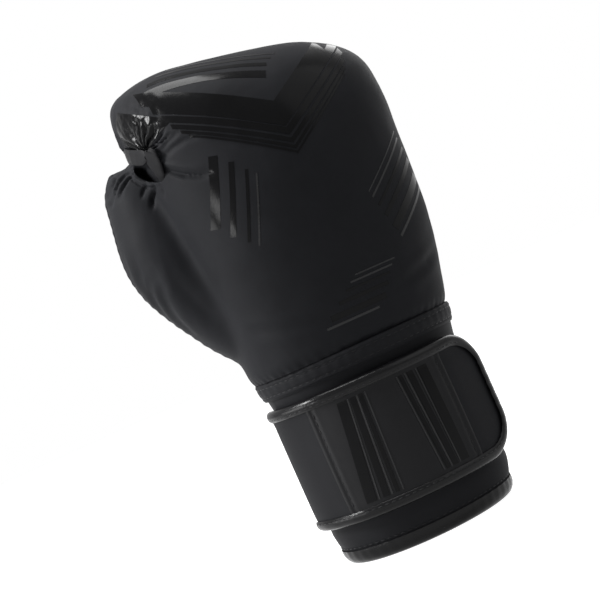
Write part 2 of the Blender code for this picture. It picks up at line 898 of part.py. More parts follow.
def make_flap(parts, parent, hinge, leather, binding, foam, patch_leather, hook):
    outline = flap_outline()
    start, end = outline[0][0], flap_end
    half_gap = patch_edge_gap / 2
    faces = (
        ("flap_face_thumb", start, patch_start - half_gap, leather, flap_skin),
        ("flap_patch", patch_start + half_gap, patch_end - half_gap, patch_leather, patch_thickness),
        ("flap_face_end", patch_end + half_gap, end, leather, flap_skin),
    )
    layers = [
        ("flap_lining", outline, flap_lining_offsets(), leather),
        ("flap_foam", outline, flap_foam_offsets(), foam),
        ("hook_patch", tape_outline(hook_start, hook_end), hook_offsets(), hook),
    ]
    for name, first, last, material, thickness in faces:
        stretch = clip(clip(outline, first, 1.0), last, -1.0)
        layers.append((name, stretch, flap_face_offsets(thickness), material))
    for name, shape, offsets, material in layers:
        piece = wrapped_sheet(name, shape, *offsets, parts, parent)
        finish(piece, material)
        hang(piece, hinge)

    profile = channel_profile(strap_binding_width, *flap_edge_offsets())
    edge = wrapped_channel("flap_binding", outline, profile, parts, parent)
    finish(edge, binding)
    hang(edge, hinge)


def tape_outline(start, end):
    low, high = strap_low + tape_margin, strap_high - tape_margin
    return [(start, low), (end, low), (end, high), (start, high)]


def elastic_outline(start, end):
    low, high = strap_low + elastic_margin, strap_high - elastic_margin
    return [(start, low), (end, low), (end, high), (start, high)]


def make_strap_band(parts, parent, hinge, leather, elastic):
    """The elastic from the strap's root, across the palm side, to the hinge of the flap."""
    half_gap = joint_gap / 2
    outline = elastic_outline(root_line + half_gap, flap_hinge - half_gap)
    band = wrapped_sheet("strap_elastic", outline, *elastic_offsets(), parts, parent)
    finish(band, elastic)
    hang(band, hinge)

    outline = elastic_outline(root_line - root_tab_length, root_line - half_gap)
    tab = wrapped_sheet("strap_root", outline, seam_gap, elastic_offsets()[1], parts, parent)
    finish(tab, leather)


def make_loop_patch(parts, parent, loop):
    outline = tape_outline(loop_start, loop_end)
    finish(wrapped_sheet("loop_patch", outline, *loop_offsets(), parts, parent), loop)


def main():
    clear_scene()
    parts = bpy.data.collections.new("boxing_glove")
    cutters = bpy.data.collections.new("cutters")
    for collection in (parts, cutters):
        bpy.context.scene.collection.children.link(collection)
    cutters.hide_render = True

    root = bpy.data.objects.new("cuff_axis", None)
    root.location = (cuff_axis_x, cuff_axis_y, 0.0)
    parts.objects.link(root)

    leather = make_material("matte_leather", (0.022, 0.022, 0.025), 0.62)
    patch_leather = make_material("patch_leather", (0.018, 0.018, 0.020), 0.50)
    binding = make_material("gloss_binding", (0.020, 0.020, 0.022), 0.28)
    foam = make_material("eva_foam", (0.10, 0.10, 0.11), 0.90)
    fabric = make_material("liner_fabric", (0.030, 0.030, 0.034), 0.95)
    elastic = make_material("elastic_webbing", (0.025, 0.025, 0.028), 0.85)
    hook = make_material("hook_tape", (0.015, 0.015, 0.016), 0.70)
    loop = make_material("loop_pile", (0.018, 0.018, 0.020), 1.00)

    make_covers(cutters, parts, root, leather)
    make_padding(cutters, parts, root, foam)
    make_hand_liner(cutters, parts, root, fabric)
    make_grip_bar(cutters, parts, root, leather)
    make_thumb_lock(cutters, parts, root, leather)
    make_cuff(parts, root, leather, foam, fabric, binding)
    make_gusset(parts, root, elastic)
    make_label(parts, root, fabric)
    make_wrist_band(parts, root, leather)
    make_loop_patch(parts, root, loop)

    swing, peel = add_hinges(parts, root)
    make_strap_band(parts, root, swing, leather, elastic)
    make_flap(parts, root, peel, leather, binding, foam, patch_leather, hook)


main()
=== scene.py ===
import math
import bmesh
import bpy
import numpy as np
from mathutils import Matrix, Vector, noise
from mathutils.bvhtree import BVHTree


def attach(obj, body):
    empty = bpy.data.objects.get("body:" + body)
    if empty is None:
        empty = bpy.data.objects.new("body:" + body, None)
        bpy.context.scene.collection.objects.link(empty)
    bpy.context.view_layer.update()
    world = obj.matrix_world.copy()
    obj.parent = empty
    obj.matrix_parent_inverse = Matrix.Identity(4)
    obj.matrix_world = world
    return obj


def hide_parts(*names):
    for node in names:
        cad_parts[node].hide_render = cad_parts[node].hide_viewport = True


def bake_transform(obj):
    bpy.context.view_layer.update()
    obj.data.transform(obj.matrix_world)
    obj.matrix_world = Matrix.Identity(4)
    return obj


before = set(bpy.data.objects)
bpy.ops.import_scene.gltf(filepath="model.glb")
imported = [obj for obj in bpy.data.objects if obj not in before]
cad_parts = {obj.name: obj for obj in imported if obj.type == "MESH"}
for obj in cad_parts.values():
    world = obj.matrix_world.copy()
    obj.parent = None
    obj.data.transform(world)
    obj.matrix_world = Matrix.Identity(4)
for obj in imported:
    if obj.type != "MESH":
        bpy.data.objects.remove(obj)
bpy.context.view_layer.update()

mm = 0.001
weld = 0.02 * mm
cuffAxis = np.array((12.5, -2.8, 0.0)) * mm    # the middle of the cuff's oval, in the frame

# ---- camera, lamps, world

view = {
    "azimuth": -15.0,
    "elevation": -0.8,
    "roll": 24.0,
    "distance": 0.80,
    "frameWidth": 0.351,        # what 600 px cover at the glove
    "up": 0.1514,
    "side": -0.0171,
}

def makeCamera():
    turn, lift = math.radians(view["azimuth"]), math.radians(view["elevation"])
    back = Vector((math.sin(turn) * math.cos(lift), -math.cos(turn) * math.cos(lift), math.sin(lift)))
    right = Vector((math.cos(turn), math.sin(turn), 0.0))
    target = Vector(cuffAxis) + right * view["side"] + Vector((0.0, 0.0, view["up"]))
    data = bpy.data.cameras.new("photoCamera")
    data.sensor_width = 36.0
    data.lens = 36.0 / (view["frameWidth"] / view["distance"])
    camera = bpy.data.objects.new("photoCamera", data)
    bpy.context.scene.collection.objects.link(camera)
    look = (-back).to_track_quat("-Z", "Y").to_matrix()
    camera.matrix_world = Matrix.Translation(target + back * view["distance"]) @ (
        look @ Matrix.Rotation(math.radians(-view["roll"]), 3, "Z")
    ).to_4x4()
    bpy.context.scene.camera = camera
    return right, back

cameraRight, cameraBack = makeCamera()

lamps = (
    # name, along the camera's right / up / back, size, watts
    ("keyUpperLeft", (-1.15, 0.80, 0.24), 0.45, 32.0),
    ("fillRight", (0.95, 0.70, 0.50), 1.1, 3.6),
    ("topSoft", (-0.14, 1.30, 0.14), 0.8, 30.0),
    ("rimBehind", (0.80, 0.60, -1.10), 0.9, 5.0),
    ("glintLeft", (-0.98, -0.03, 0.72), 0.26, 3.2),
    ("sideLow", (-1.25, 0.05, 0.20), 0.6, 9.0),
)

def makeLamps():
    middle = Vector((0.0, 0.0, 0.155))
    for name, place, size, watts in lamps:
        data = bpy.data.lights.new(name, "AREA")
        data.shape = "DISK"
        data.size = size
        data.energy = watts
        lamp = bpy.data.objects.new(name, data)
        lamp.location = middle + cameraRight * place[0] + Vector((0.0, 0.0, 1.0)) * place[1] + cameraBack * place[2]
        lamp.rotation_euler = (middle - lamp.location).to_track_quat("-Z", "Y").to_euler()
        bpy.context.scene.collection.objects.link(lamp)

makeLamps()

# ---- shader nodes

def addNode(tree, kind, values=None, **settings):
    node = tree.nodes.new(kind)
    for key, value in settings.items():
        setattr(node, key, value)
    for key, value in (values or {}).items():
        if isinstance(value, bpy.types.NodeSocket):
            tree.links.new(value, node.inputs[key])
        else:
            node.inputs[key].default_value = value
    return node

def mathNode(tree, operation, *values):
    return addNode(tree, "ShaderNodeMath", dict(enumerate(values)), operation=operation).outputs[0]

def seenDirectly(tree):
    # 1 for what is seen by eye or mirrored in a piece, 0 for the light that falls on pieces
    rays = addNode(tree, "ShaderNodeLightPath").outputs
    seen = mathNode(tree, "MAXIMUM", rays["Is Camera Ray"], rays["Is Glossy Ray"])
    return mathNode(tree, "MAXIMUM", seen, rays["Is Transmission Ray"])

def makeWorld():
    world = bpy.data.worlds.new("studio")
    world.use_nodes = True
    bpy.context.scene.world = world
    tree = world.node_tree
    tree.nodes.clear()
    soft = addNode(tree, "ShaderNodeBackground", {"Color": (0.93, 0.95, 1.0, 1.0), "Strength": 0.14})
    white = addNode(tree, "ShaderNodeBackground", {"Color": (1.0, 1.0, 1.0, 1.0), "Strength": 1.0})
    mix = addNode(tree, "ShaderNodeMixShader", {0: seenDirectly(tree), 1: soft.outputs[0], 2: white.outputs[0]})
    addNode(tree, "ShaderNodeOutputWorld", {"Surface": mix.outputs[0]})

makeWorld()
bpy.context.scene.view_settings.view_transform = "Standard"
print("camera, lamps and world")

# ---- materials

def newMaterial(name, colour, roughness, specular):
    material = bpy.data.materials.new(name)
    material.use_nodes = True
    material.diffuse_color = (*colour, 1.0)
    tree = material.node_tree
    shader = tree.nodes["Principled BSDF"]
    shader.inputs["Base Color"].default_value = (*colour, 1.0)
    shader.inputs["Roughness"].default_value = roughness
    shader.inputs["Specular IOR Level"].default_value = specular
    return material, tree, shader

def ramp(tree, value, low, high, lowTo, highTo):
    span = {"Value": value, "From Min": low, "From Max": high, "To Min": lowTo, "To Max": highTo}
    return addNode(tree, "ShaderNodeMapRange", span).outputs["Result"]

def noiseNode(tree, place, scale, detail, roughness=0.5):
    values = {"Vector": place, "Scale": scale, "Detail": detail, "Roughness": roughness}
    return addNode(tree, "ShaderNodeTexNoise", values).outputs["Fac"]

def mixColour(tree, factor, first, second):
    values = {0: factor, 6: (*first, 1.0), 7: (*second, 1.0)}
    return addNode(tree, "ShaderNodeMix", values, data_type="RGBA").outputs[2]

def bumpNode(tree, height, strength, distance, **under):
    values = {"Height": height, "Strength": strength, "Distance": distance, **under}
    return addNode(tree, "ShaderNodeBump", values).outputs["Normal"]

def leatherMaterial(name, dark, light, roughness, specular, grain=0.55, bump=0.25):
    # a soft mottle, a fine nap and a pebbled grain of that many mm
    material, tree, shader = newMaterial(name, dark, roughness[0], specular)
    place = addNode(tree, "ShaderNodeTexCoord").outputs["Object"]
    soft = noiseNode(tree, place, 26.0, 4.0, 0.6)
    fine = noiseNode(tree, place, 900.0, 3.0, 0.55)
    cellValues = {"Vector": place, "Scale": 1.0 / (grain * mm), "Randomness": 0.9}
    cells = addNode(tree, "ShaderNodeTexVoronoi", cellValues, feature="DISTANCE_TO_EDGE")
    tone = ramp(tree, soft, 0.32, 0.68, 0.0, 1.0)
    tree.links.new(mixColour(tree, tone, dark, light), shader.inputs["Base Color"])
    rough = mathNode(tree, "ADD", ramp(tree, soft, 0.3, 0.7, *roughness), ramp(tree, fine, 0.3, 0.7, -0.04, 0.04))
    tree.links.new(rough, shader.inputs["Roughness"])
    pebble = ramp(tree, cells.outputs["Distance"], 0.0, 0.28, 0.0, 1.0)
    nap = bumpNode(tree, fine, bump * 0.6, 0.08 * mm)
    tree.links.new(bumpNode(tree, pebble, bump, 0.05 * mm, Normal=nap), shader.inputs["Normal"])
    return material

def wovenMaterial(name, dark, light, pitch, sheen, roughness=0.9, bump=0.6, ribs=0.0):
    # warp and weft threads on the piece's own UV map, which is in metres
    material, tree, shader = newMaterial(name, dark, roughness, 0.25)
    place = addNode(tree, "ShaderNodeTexCoord").outputs["UV"]
    split = addNode(tree, "ShaderNodeSeparateXYZ", {"Vector": place}).outputs
    def wave(axis, every):
        return mathNode(tree, "SINE", mathNode(tree, "MULTIPLY", split[axis], 2.0 * math.pi / (every * mm)))
    weave = mathNode(tree, "MULTIPLY", wave("X", pitch), wave("Y", pitch))
    fuzz = noiseNode(tree, place, 1400.0, 2.0)
    soft = noiseNode(tree, place, 40.0, 3.0)
    height = mathNode(tree, "ADD", weave, ramp(tree, fuzz, 0.3, 0.7, -0.5, 0.5))
    if ribs:
        height = mathNode(tree, "MULTIPLY_ADD", wave("Y", ribs), 2.0, height)
    tone = mathNode(tree, "ADD", ramp(tree, weave, -1.0, 1.0, 0.0, 0.7), ramp(tree, soft, 0.3, 0.7, 0.0, 0.3))
    tree.links.new(mixColour(tree, tone, dark, light), shader.inputs["Base Color"])
    tree.links.new(bumpNode(tree, height, bump, pitch * 0.25 * mm), shader.inputs["Normal"])
    shader.inputs["Sheen Weight"].default_value = sheen
    return material

# name, darkest and lightest colour, roughness, specular level
mittLeather = leatherMaterial("matteLeather", (0.0072, 0.0074, 0.0084), (0.0100, 0.0103, 0.0117), (0.56, 0.66), 0.045)
cuffLeather = leatherMaterial("cuffLeather", (0.0068, 0.0069, 0.0078), (0.0092, 0.0094, 0.0105), (0.54, 0.64), 0.05)
patchLeather = leatherMaterial("patchLeather", (0.0062, 0.0062, 0.0067), (0.0082, 0.0082, 0.0089), (0.44, 0.54), 0.08,
    grain=0.45)
glossPrint = leatherMaterial("glossPrint", (0.0022, 0.0022, 0.0024), (0.0032, 0.0032, 0.0035), (0.14, 0.21), 0.06,
    bump=0.10)
glossBinding = leatherMaterial("glossBinding", (0.0028, 0.0028, 0.0031), (0.0042, 0.0042, 0.0046), (0.16, 0.25), 0.11,
    grain=0.9, bump=0.45)
# thin pale grey lines; on the strap's patch the same lines are painted glare streaks beside the gloss bars
paleLinesAndPaintedGlare = leatherMaterial("paleLinesAndPaintedGlare", (0.012, 0.012, 0.0125), (0.019, 0.019, 0.0195), (0.24, 0.34), 0.12,
    bump=0.10)
# a darker leather for the thumb lock and the loop over it: partly its own tone, partly painted shade that keeps them
# dark under the side lamps
lockLeatherWithPaintedShade = leatherMaterial("lockLeatherWithPaintedShade", (0.0045, 0.0045, 0.0050), (0.0068, 0.0068, 0.0075), (0.46, 0.56), 0.05)
threadMaterial = leatherMaterial("waxedThread", (0.004, 0.004, 0.0045), (0.009, 0.009, 0.010), (0.34, 0.44), 0.12,
    grain=0.3)
# name, darkest and lightest colour, pitch of the threads in mm, sheen
liningCloth = wovenMaterial("liningCloth", (0.006, 0.006, 0.007), (0.015, 0.015, 0.017), 0.8, 0.1)
elasticCloth = wovenMaterial("elasticWebbing", (0.004, 0.004, 0.0045), (0.010, 0.010, 0.011), 0.7, 0.05, ribs=2.4)
loopPile = wovenMaterial("loopPile", (0.005, 0.005, 0.006), (0.013, 0.013, 0.014), 0.9, 0.08, bump=1.0)
hookTape = wovenMaterial("hookTape", (0.006, 0.006, 0.007), (0.020, 0.020, 0.022), 1.4, 0.0, roughness=0.6, bump=1.0)
print("materials")

# ---- meshes

def meshObject(name, bm, material=None, smooth=True):
    mesh = bpy.data.meshes.new(name)
    bm.to_mesh(mesh)
    bm.free()
    mesh.polygons.foreach_set("use_smooth", [smooth] * len(mesh.polygons))
    piece = bpy.data.objects.new(name, mesh)
    bpy.context.scene.collection.objects.link(piece)
    if material:
        mesh.materials.append(material)
    return piece

def applyModifiers(piece):
    graph = bpy.context.evaluated_depsgraph_get()
    mesh = bpy.data.meshes.new_from_object(piece.evaluated_get(graph))
    old = piece.data
    piece.modifiers.clear()
    piece.data = mesh
    bpy.data.meshes.remove(old)
    mesh.name = piece.name
    mesh.polygons.foreach_set("use_smooth", [True] * len(mesh.polygons))
    return piece

def modified(piece, *modifiers):
    for kind, settings in modifiers:
        modifier = piece.modifiers.new(kind.lower(), kind)
        for key, value in settings.items():
            setattr(modifier, key, value)
    return applyModifiers(piece)

def evenOut(rounds):
    return "SMOOTH", {"factor": 0.5, "iterations": rounds}

def subdivided(piece, levels):
    return modified(piece, ("SUBSURF", {"levels": levels, "render_levels": levels}))

def remeshed(piece, voxel, rounds):
    return modified(piece, ("REMESH", {"mode": "VOXEL", "voxel_size": voxel * mm}), evenOut(rounds))

def thicken(piece, thickness):
    wall = {"thickness": thickness * mm, "offset": -1.0, "use_even_offset": True, "use_quality_normals": True}
    return modified(piece, ("SOLIDIFY", wall))

def editMesh(piece, change):
    bm = bmesh.new()
    bm.from_mesh(piece.data)
    change(bm)
    bm.to_mesh(piece.data)
    bm.free()
    return piece

def getVectors(mesh, key):
    values = np.empty(len(mesh.vertices) * 3)
    mesh.vertices.foreach_get(key, values)
    return values.reshape(-1, 3)

def getPoints(piece):
    return getVectors(piece.data, "co")

def getNormals(piece):
    return getVectors(piece.data, "normal")

def setPoints(piece, points):
    piece.data.vertices.foreach_set("co", np.ascontiguousarray(points, dtype=np.float32).ravel())
    piece.data.update()

def skinOf(piece):
    return BVHTree.FromPolygons([tuple(point) for point in getPoints(piece)],
        [tuple(face.vertices) for face in piece.data.polygons])

def pathAt(path, at):
    # points of a path at fractions of its steps
    path = np.array(path, float)
    return np.stack([np.interp(at, np.arange(len(path)), path[:, axis]) for axis in range(path.shape[1])], axis=-1)

def lengthsAlong(path):
    return np.concatenate([[0.0], np.cumsum(np.linalg.norm(np.diff(path, axis=0), axis=1))])

def bell(value, width):
    return np.exp(-(value / width) ** 2)

def crowned(share):
    # 1 in the middle, 0 at both edges
    return 1.0 - np.abs(share * 2.0 - 1.0) ** 3

def headings(path):
    heading = np.gradient(path, axis=0)
    return heading / np.linalg.norm(heading, axis=1)[:, None]

# ---- mitt

mitt = {
    "joint": 116.0, "top": 297.0,
    "thumbSide": 78.5, "fingerSide": 76.0, "back": 69.0, "curl": 75.0,
    "thumbBase": 115.0, "thumbTip": 268.0, "thumbOut": 71.0, "thumbPalmward": 21.0,
    "thumbWidth": 28.5, "thumbDepth": 33.0,
    "voxel": 2.8, "lowerEdge": 116.15, "squareness": 0.88,
}

# height, thumb side, tuck, finger side, back, palm, lean
fistRows = (
    (-0.06, 0.80, 0.80, 0.78, 0.71, 0.66, 0.00), (0.03, 0.83, 0.79, 0.81, 0.74, 0.66, 0.00),
    (0.14, 0.845, 0.74, 0.885, 0.80, 0.61, 0.00), (0.27, 0.86, 0.69, 0.94, 0.88, 0.57, 0.00),
    (0.39, 0.89, 0.68, 0.955, 0.95, 0.56, 0.00), (0.47, 0.91, 0.68, 0.967, 0.98, 0.63, 0.00),
    (0.56, 0.93, 0.69, 0.967, 1.00, 0.90, 0.00), (0.68, 0.96, 0.73, 1.00, 1.00, 0.99, 0.02),
    (0.79, 1.00, 0.84, 0.99, 0.96, 1.00, 0.05), (0.88, 1.02, 0.94, 0.96, 0.86, 0.93, 0.10),
    (0.96, 0.93, 0.85, 0.80, 0.63, 0.73, 0.13), (1.00, 0.55, 0.52, 0.44, 0.30, 0.42, 0.13),
)
# height, out, palmward, width, depth
thumbRows = (
    (0.00, 0.46, 0.30, 0.60, 0.60), (0.18, 0.695, 0.54, 0.82, 0.82), (0.35, 0.875, 0.72, 0.93, 0.95),
    (0.53, 1.03, 0.87, 1.00, 1.00), (0.71, 1.027, 0.97, 0.96, 0.98), (0.86, 1.025, 1.02, 0.90, 0.90),
    (0.96, 1.03, 1.04, 0.72, 0.68),
)
# height, thumb side, finger side, back, palm, pocket
handRows = (
    (-0.10, 1.06, 1.06, 1.28, 1.34, 0.0), (0.10, 1.00, 1.02, 1.14, 1.14, 0.0), (0.38, 0.94, 1.04, 1.00, 0.98, 0.0),
    (0.60, 0.90, 1.04, 1.00, 1.00, 0.15), (0.74, 0.86, 1.00, 1.00, 1.00, 0.95), (0.90, 0.80, 0.92, 0.90, 1.00, 1.00),
    (1.00, 0.55, 0.60, 0.50, 0.60, 0.70),
)
hand = {
    "halfWidth": 44.0, "back": 28.0, "palm": 27.0, "pocket": 46.0, "top": 254.0,
    "thumbRoom": 14.0, "thumbRoomTip": 248.0, "voxel": 4.0, "lining": 1.0,
    "gripY": 18.0, "gripZ": 213.0, "gripRadius": 10.5, "gripEnds": (-39.0, 42.5),
}

def fistRing(row):
    height, thumb, tuck, finger, back, palm, lean = row
    z = mitt["joint"] + height * (mitt["top"] - mitt["joint"])
    return (z, thumb * mitt["thumbSide"], tuck * mitt["thumbSide"], finger * mitt["fingerSide"],
            back * mitt["back"], palm * mitt["curl"], lean, 0.0, 0.0)

def thumbRing(row, width, depth, tip):
    height, out, palmward, wide, deep = row
    z = mitt["thumbBase"] + height * (tip - mitt["thumbBase"])
    wide, deep = wide * width, deep * depth
    return z, wide, wide, wide, deep, deep, 0.0, -out * mitt["thumbOut"], palmward * mitt["thumbPalmward"]

def handRing(row):
    height, thumb, finger, back, palm, pocket = row
    depth = palm * (hand["palm"] + pocket * (hand["pocket"] - hand["palm"]))
    z = mitt["joint"] + height * (hand["top"] - mitt["joint"])
    side = thumb * hand["halfWidth"]
    return z, side, side, finger * hand["halfWidth"], back * hand["back"], depth, 0.0, 0.0, 0.0

def softForm(name, rings, count, grow=0.0):
    # rings of unlike shape, bridged into a cage, then rounded
    bm = bmesh.new()
    swell = 6.0 / (4.0 + 2.0 * math.cos(2.0 * math.pi / count))
    loops = []
    for z, low, tuck, high, back, palm, lean, midX, midY in rings:
        loop = bmesh.ops.create_circle(bm, segments=count, radius=1.0)["verts"]
        for vert in loop:
            angle = math.atan2(vert.co.y, vert.co.x) + math.pi / count
            across, along = math.cos(angle), math.sin(angle)
            share = min(1.0, max(0.0, along) / 0.6)
            reachX = (high if across > 0.0 else low + (tuck - low) * share) + grow
            reachY = (palm if along > 0.0 else back) + grow
            x = swell * reachX * math.copysign(abs(across) ** mitt["squareness"], across)
            y = swell * reachY * math.copysign(abs(along) ** mitt["squareness"], along)
            vert.co = Vector((cuffAxis[0] / mm + midX + x, cuffAxis[1] / mm + midY + y, z - lean * x)) * mm
        loops.append(loop)
    for lower, upper in zip(loops, loops[1:]):
        both, first = set(lower) | set(upper), set(lower)
        edges = [edge for edge in bm.edges if both.issuperset(edge.verts) and not edge.link_faces]
        edges += [edge for edge in bm.edges if first.issuperset(edge.verts) and edge not in edges]
        bmesh.ops.bridge_loops(bm, edges=edges)
    bmesh.ops.holes_fill(bm, edges=[edge for edge in bm.edges if edge.is_boundary], sides=0)
    bmesh.ops.recalc_face_normals(bm, faces=bm.faces)
    return subdivided(meshObject(name, bm), 3)

def joined(name, pieces):
    bm = bmesh.new()
    for piece in pieces:
        bm.from_mesh(piece.data)
        bpy.data.objects.remove(piece)
    return meshObject(name, bm)

def openBelow(piece, z):
    def cut(bm):
        parts = bm.verts[:] + bm.edges[:] + bm.faces[:]
        bmesh.ops.bisect_plane(bm, geom=parts, plane_co=(0, 0, z * mm), plane_no=(0, 0, -1), clear_outer=True)
    return editMesh(piece, cut)

def thumbForm(name, width, depth, tip, grow=0.0):
    return softForm(name, [thumbRing(row, width, depth, tip) for row in thumbRows], 8, grow)

fist = softForm("fistForm", [fistRing(row) for row in fistRows], 12)
thumb = thumbForm("thumbForm", mitt["thumbWidth"], mitt["thumbDepth"], mitt["thumbTip"])
mittPiece = remeshed(joined("mitt", [fist, thumb]), mitt["voxel"], 6)
openBelow(mittPiece, mitt["lowerEdge"])
subdivided(mittPiece, 1)
print("mitt form", len(mittPiece.data.polygons))

def distanceTo(points, path):
    # how far each point lies from a line through the path's points, and how far along it
    path = np.array(path) * mm
    best = np.full(len(points), 1.0)
    along = np.zeros(len(points))
    done, total = 0.0, np.linalg.norm(np.diff(path, axis=0), axis=1).sum()
    for start, end in zip(path, path[1:]):
        step = end - start
        length = np.linalg.norm(step)
        share = np.clip((points - start) @ step / length ** 2, 0.0, 1.0)
        gap = np.linalg.norm(points - start - share[:, None] * step, axis=1)
        closer = gap < best
        best[closer] = gap[closer]
        along[closer] = (done + share[closer] * length) / total
        done += length
    return best, along

def groove(points, path, width, depth, lip):
    # a valley along a path with a soft lip on each side; it fades out at its ends
    gap, along = distanceTo(points, path)
    ends = np.sin(np.clip(along, 0.02, 0.98) * math.pi) ** 0.6
    valley = bell(gap, width * mm)
    ridge = bell(gap - 1.9 * width * mm, width * mm)
    return (-depth * valley + lip * depth * ridge) * ends * mm

folds = (
    # width, depth, lip, the fold's points, in mm from the cuff's axis
    # the notch between the thumb's tip and the fist
    (3.4, 4.4, 0.20, ((-76.0, -14.0, 264.5), (-77.5, -4.0, 266.0), (-77.5, 8.0, 267.0), (-75.5, 20.0, 266.0),
        (-70.0, 31.0, 260.0))),
    (1.6, 1.6, 0.55, ((-77.0, 2.0, 269.0), (-77.0, 3.0, 275.0), (-77.0, 4.0, 283.0))),
    (1.6, 1.5, 0.55, ((-75.5, 14.0, 269.0), (-75.0, 16.0, 275.0), (-73.5, 18.0, 283.0))),
    # pleats over the thumb's tip, on its palm side
    (1.5, 2.0, 0.55, ((-77.5, 9.0, 265.0), (-81.0, 13.5, 266.0), (-87.0, 17.0, 263.0), (-94.0, 19.0, 253.0))),
    (1.5, 1.6, 0.55, ((-75.5, 18.0, 265.0), (-79.0, 22.5, 265.0), (-84.0, 28.0, 260.0), (-88.0, 33.0, 250.0))),
    # bends in the thumb's outer side, and where the web begins
    (3.6, 1.7, 0.40, ((-94.4, -4.3, 210.0), (-94.2, -1.6, 196.0), (-93.0, 8.0, 183.0), (-89.0, 16.0, 172.0))),
    (3.2, 1.3, 0.40, ((-91.1, -8.8, 203.0), (-90.7, -4.9, 189.0), (-90.0, 4.0, 177.0), (-86.0, 13.0, 165.0))),
    (3.4, 1.4, 0.40, ((-97.4, 0.1, 217.0), (-97.6, 2.1, 203.0), (-96.5, 9.0, 189.0))),
    (3.6, 1.2, 0.35, ((-90.1, -5.2, 184.0), (-86.9, 4.1, 171.0), (-80.3, 10.8, 158.0))),
    (5.0, 1.0, 0.30, ((-84.0, -14.0, 190.0), (-78.0, -14.0, 172.0), (-70.0, -12.0, 156.0))),
    # slow creases on the palm side, where the fist closes
    (3.6, 1.6, 0.40, ((-40.0, 44.0, 172.0), (-14.0, 50.0, 176.0), (14.0, 50.0, 175.0), (40.0, 44.0, 170.0))),
    (3.2, 1.2, 0.40, ((-36.0, 46.0, 150.0), (-10.0, 48.0, 154.0), (16.0, 48.0, 153.0), (38.0, 44.0, 149.0))),
    (3.4, 1.2, 0.35, ((-60.0, -30.0, 146.0), (-40.0, -42.0, 139.0), (-12.0, -52.0, 134.0))),
    (3.2, 1.0, 0.35, ((62.0, -24.0, 150.0), (48.0, -40.0, 142.0), (26.0, -51.0, 137.0))),
)

def seamGap(value, width=1.1):
    return bell(value, width * mm)

seams = {
    "palmY": 22.0, "curlZ": 198.0, "thumbX": -50.0, "depth": 0.9, "thumbFrom": 128.0,
    "puckerEvery": 5.5, "pucker": 0.22, "puckerReach": 7.0, "puckerTop": 258.0,
    # lines of stitches on the palm, as ends in (across, height)
    "stitches": (((-43.0, 193.5), (62.0, 193.5)), ((-43.0, 202.5), (62.0, 202.5)),
                 ((-46.0, 140.0), (-46.0, 250.0)), ((-54.0, 140.0), (-54.0, 250.0))),
}

def dressMitt():
    points, normals = getPoints(mittPiece), getNormals(mittPiece)
    local = points - cuffAxis
    x, y, z = local.T
    lift = np.zeros(len(points))
    for width, depth, lip, path in folds:
        lift += groove(local, path, width, depth, lip)
    # seams of the palm: up both sides, and across under the curled fingers
    palm, thumbUp = seams["palmY"] * mm, z > seams["thumbFrom"] * mm
    sides = seamGap(y - palm) * (z < (seams["curlZ"] + 1.0) * mm) * (x > -46.0 * mm)
    across = seamGap(z - seams["curlZ"] * mm) * (y > palm - 1.0 * mm) * (x > -46.0 * mm)
    outer = seamGap(y - palm) * (x < -48.0 * mm) * thumbUp
    inner = seamGap(x - seams["thumbX"] * mm) * (y > palm) * thumbUp
    lift -= np.maximum.reduce([sides, across, outer, inner]) * seams["depth"] * mm
    near = seamGap(y - palm, seams["puckerReach"]) * (z < seams["puckerTop"] * mm)
    lift += near * seams["pucker"] * mm * np.sin(z / (seams["puckerEvery"] * mm) * 2.0 * math.pi)
    # the lower edge turns in over the band, in small gathers
    above = z / mm - mitt["lowerEdge"]
    turn = np.clip(1.0 - above / 6.0, 0.0, 1.0)
    around = np.arctan2(y / 0.82, x)
    gathers = 0.5 + 0.5 * np.sin(around * 46.0) * np.cos(around * 17.0 + 1.0)
    lift -= turn ** 2 * (0.5 + 0.6 * gathers) * mm
    lift -= np.clip(1.0 - above / 26.0, 0.0, 1.0) * turn ** 0.5 * 0.35 * gathers * mm
    # soft unevenness of hand-laid foam under the cover
    for index, spot in enumerate(points * 30.0):
        lift[index] += (0.55 * noise.noise(Vector(spot)) + 0.22 * noise.noise(Vector(spot * 2.6))) * mm
    foot = above < 0.05
    lift[foot] = np.minimum(lift[foot], 0.0)
    moved = points + normals * lift[:, None]
    moved[foot, 2] = mitt["lowerEdge"] * mm
    setPoints(mittPiece, moved)

dressMitt()
print("mitt folds and seams")

# ---- the corner round the thumb lock, shaped in the photograph's own pixels

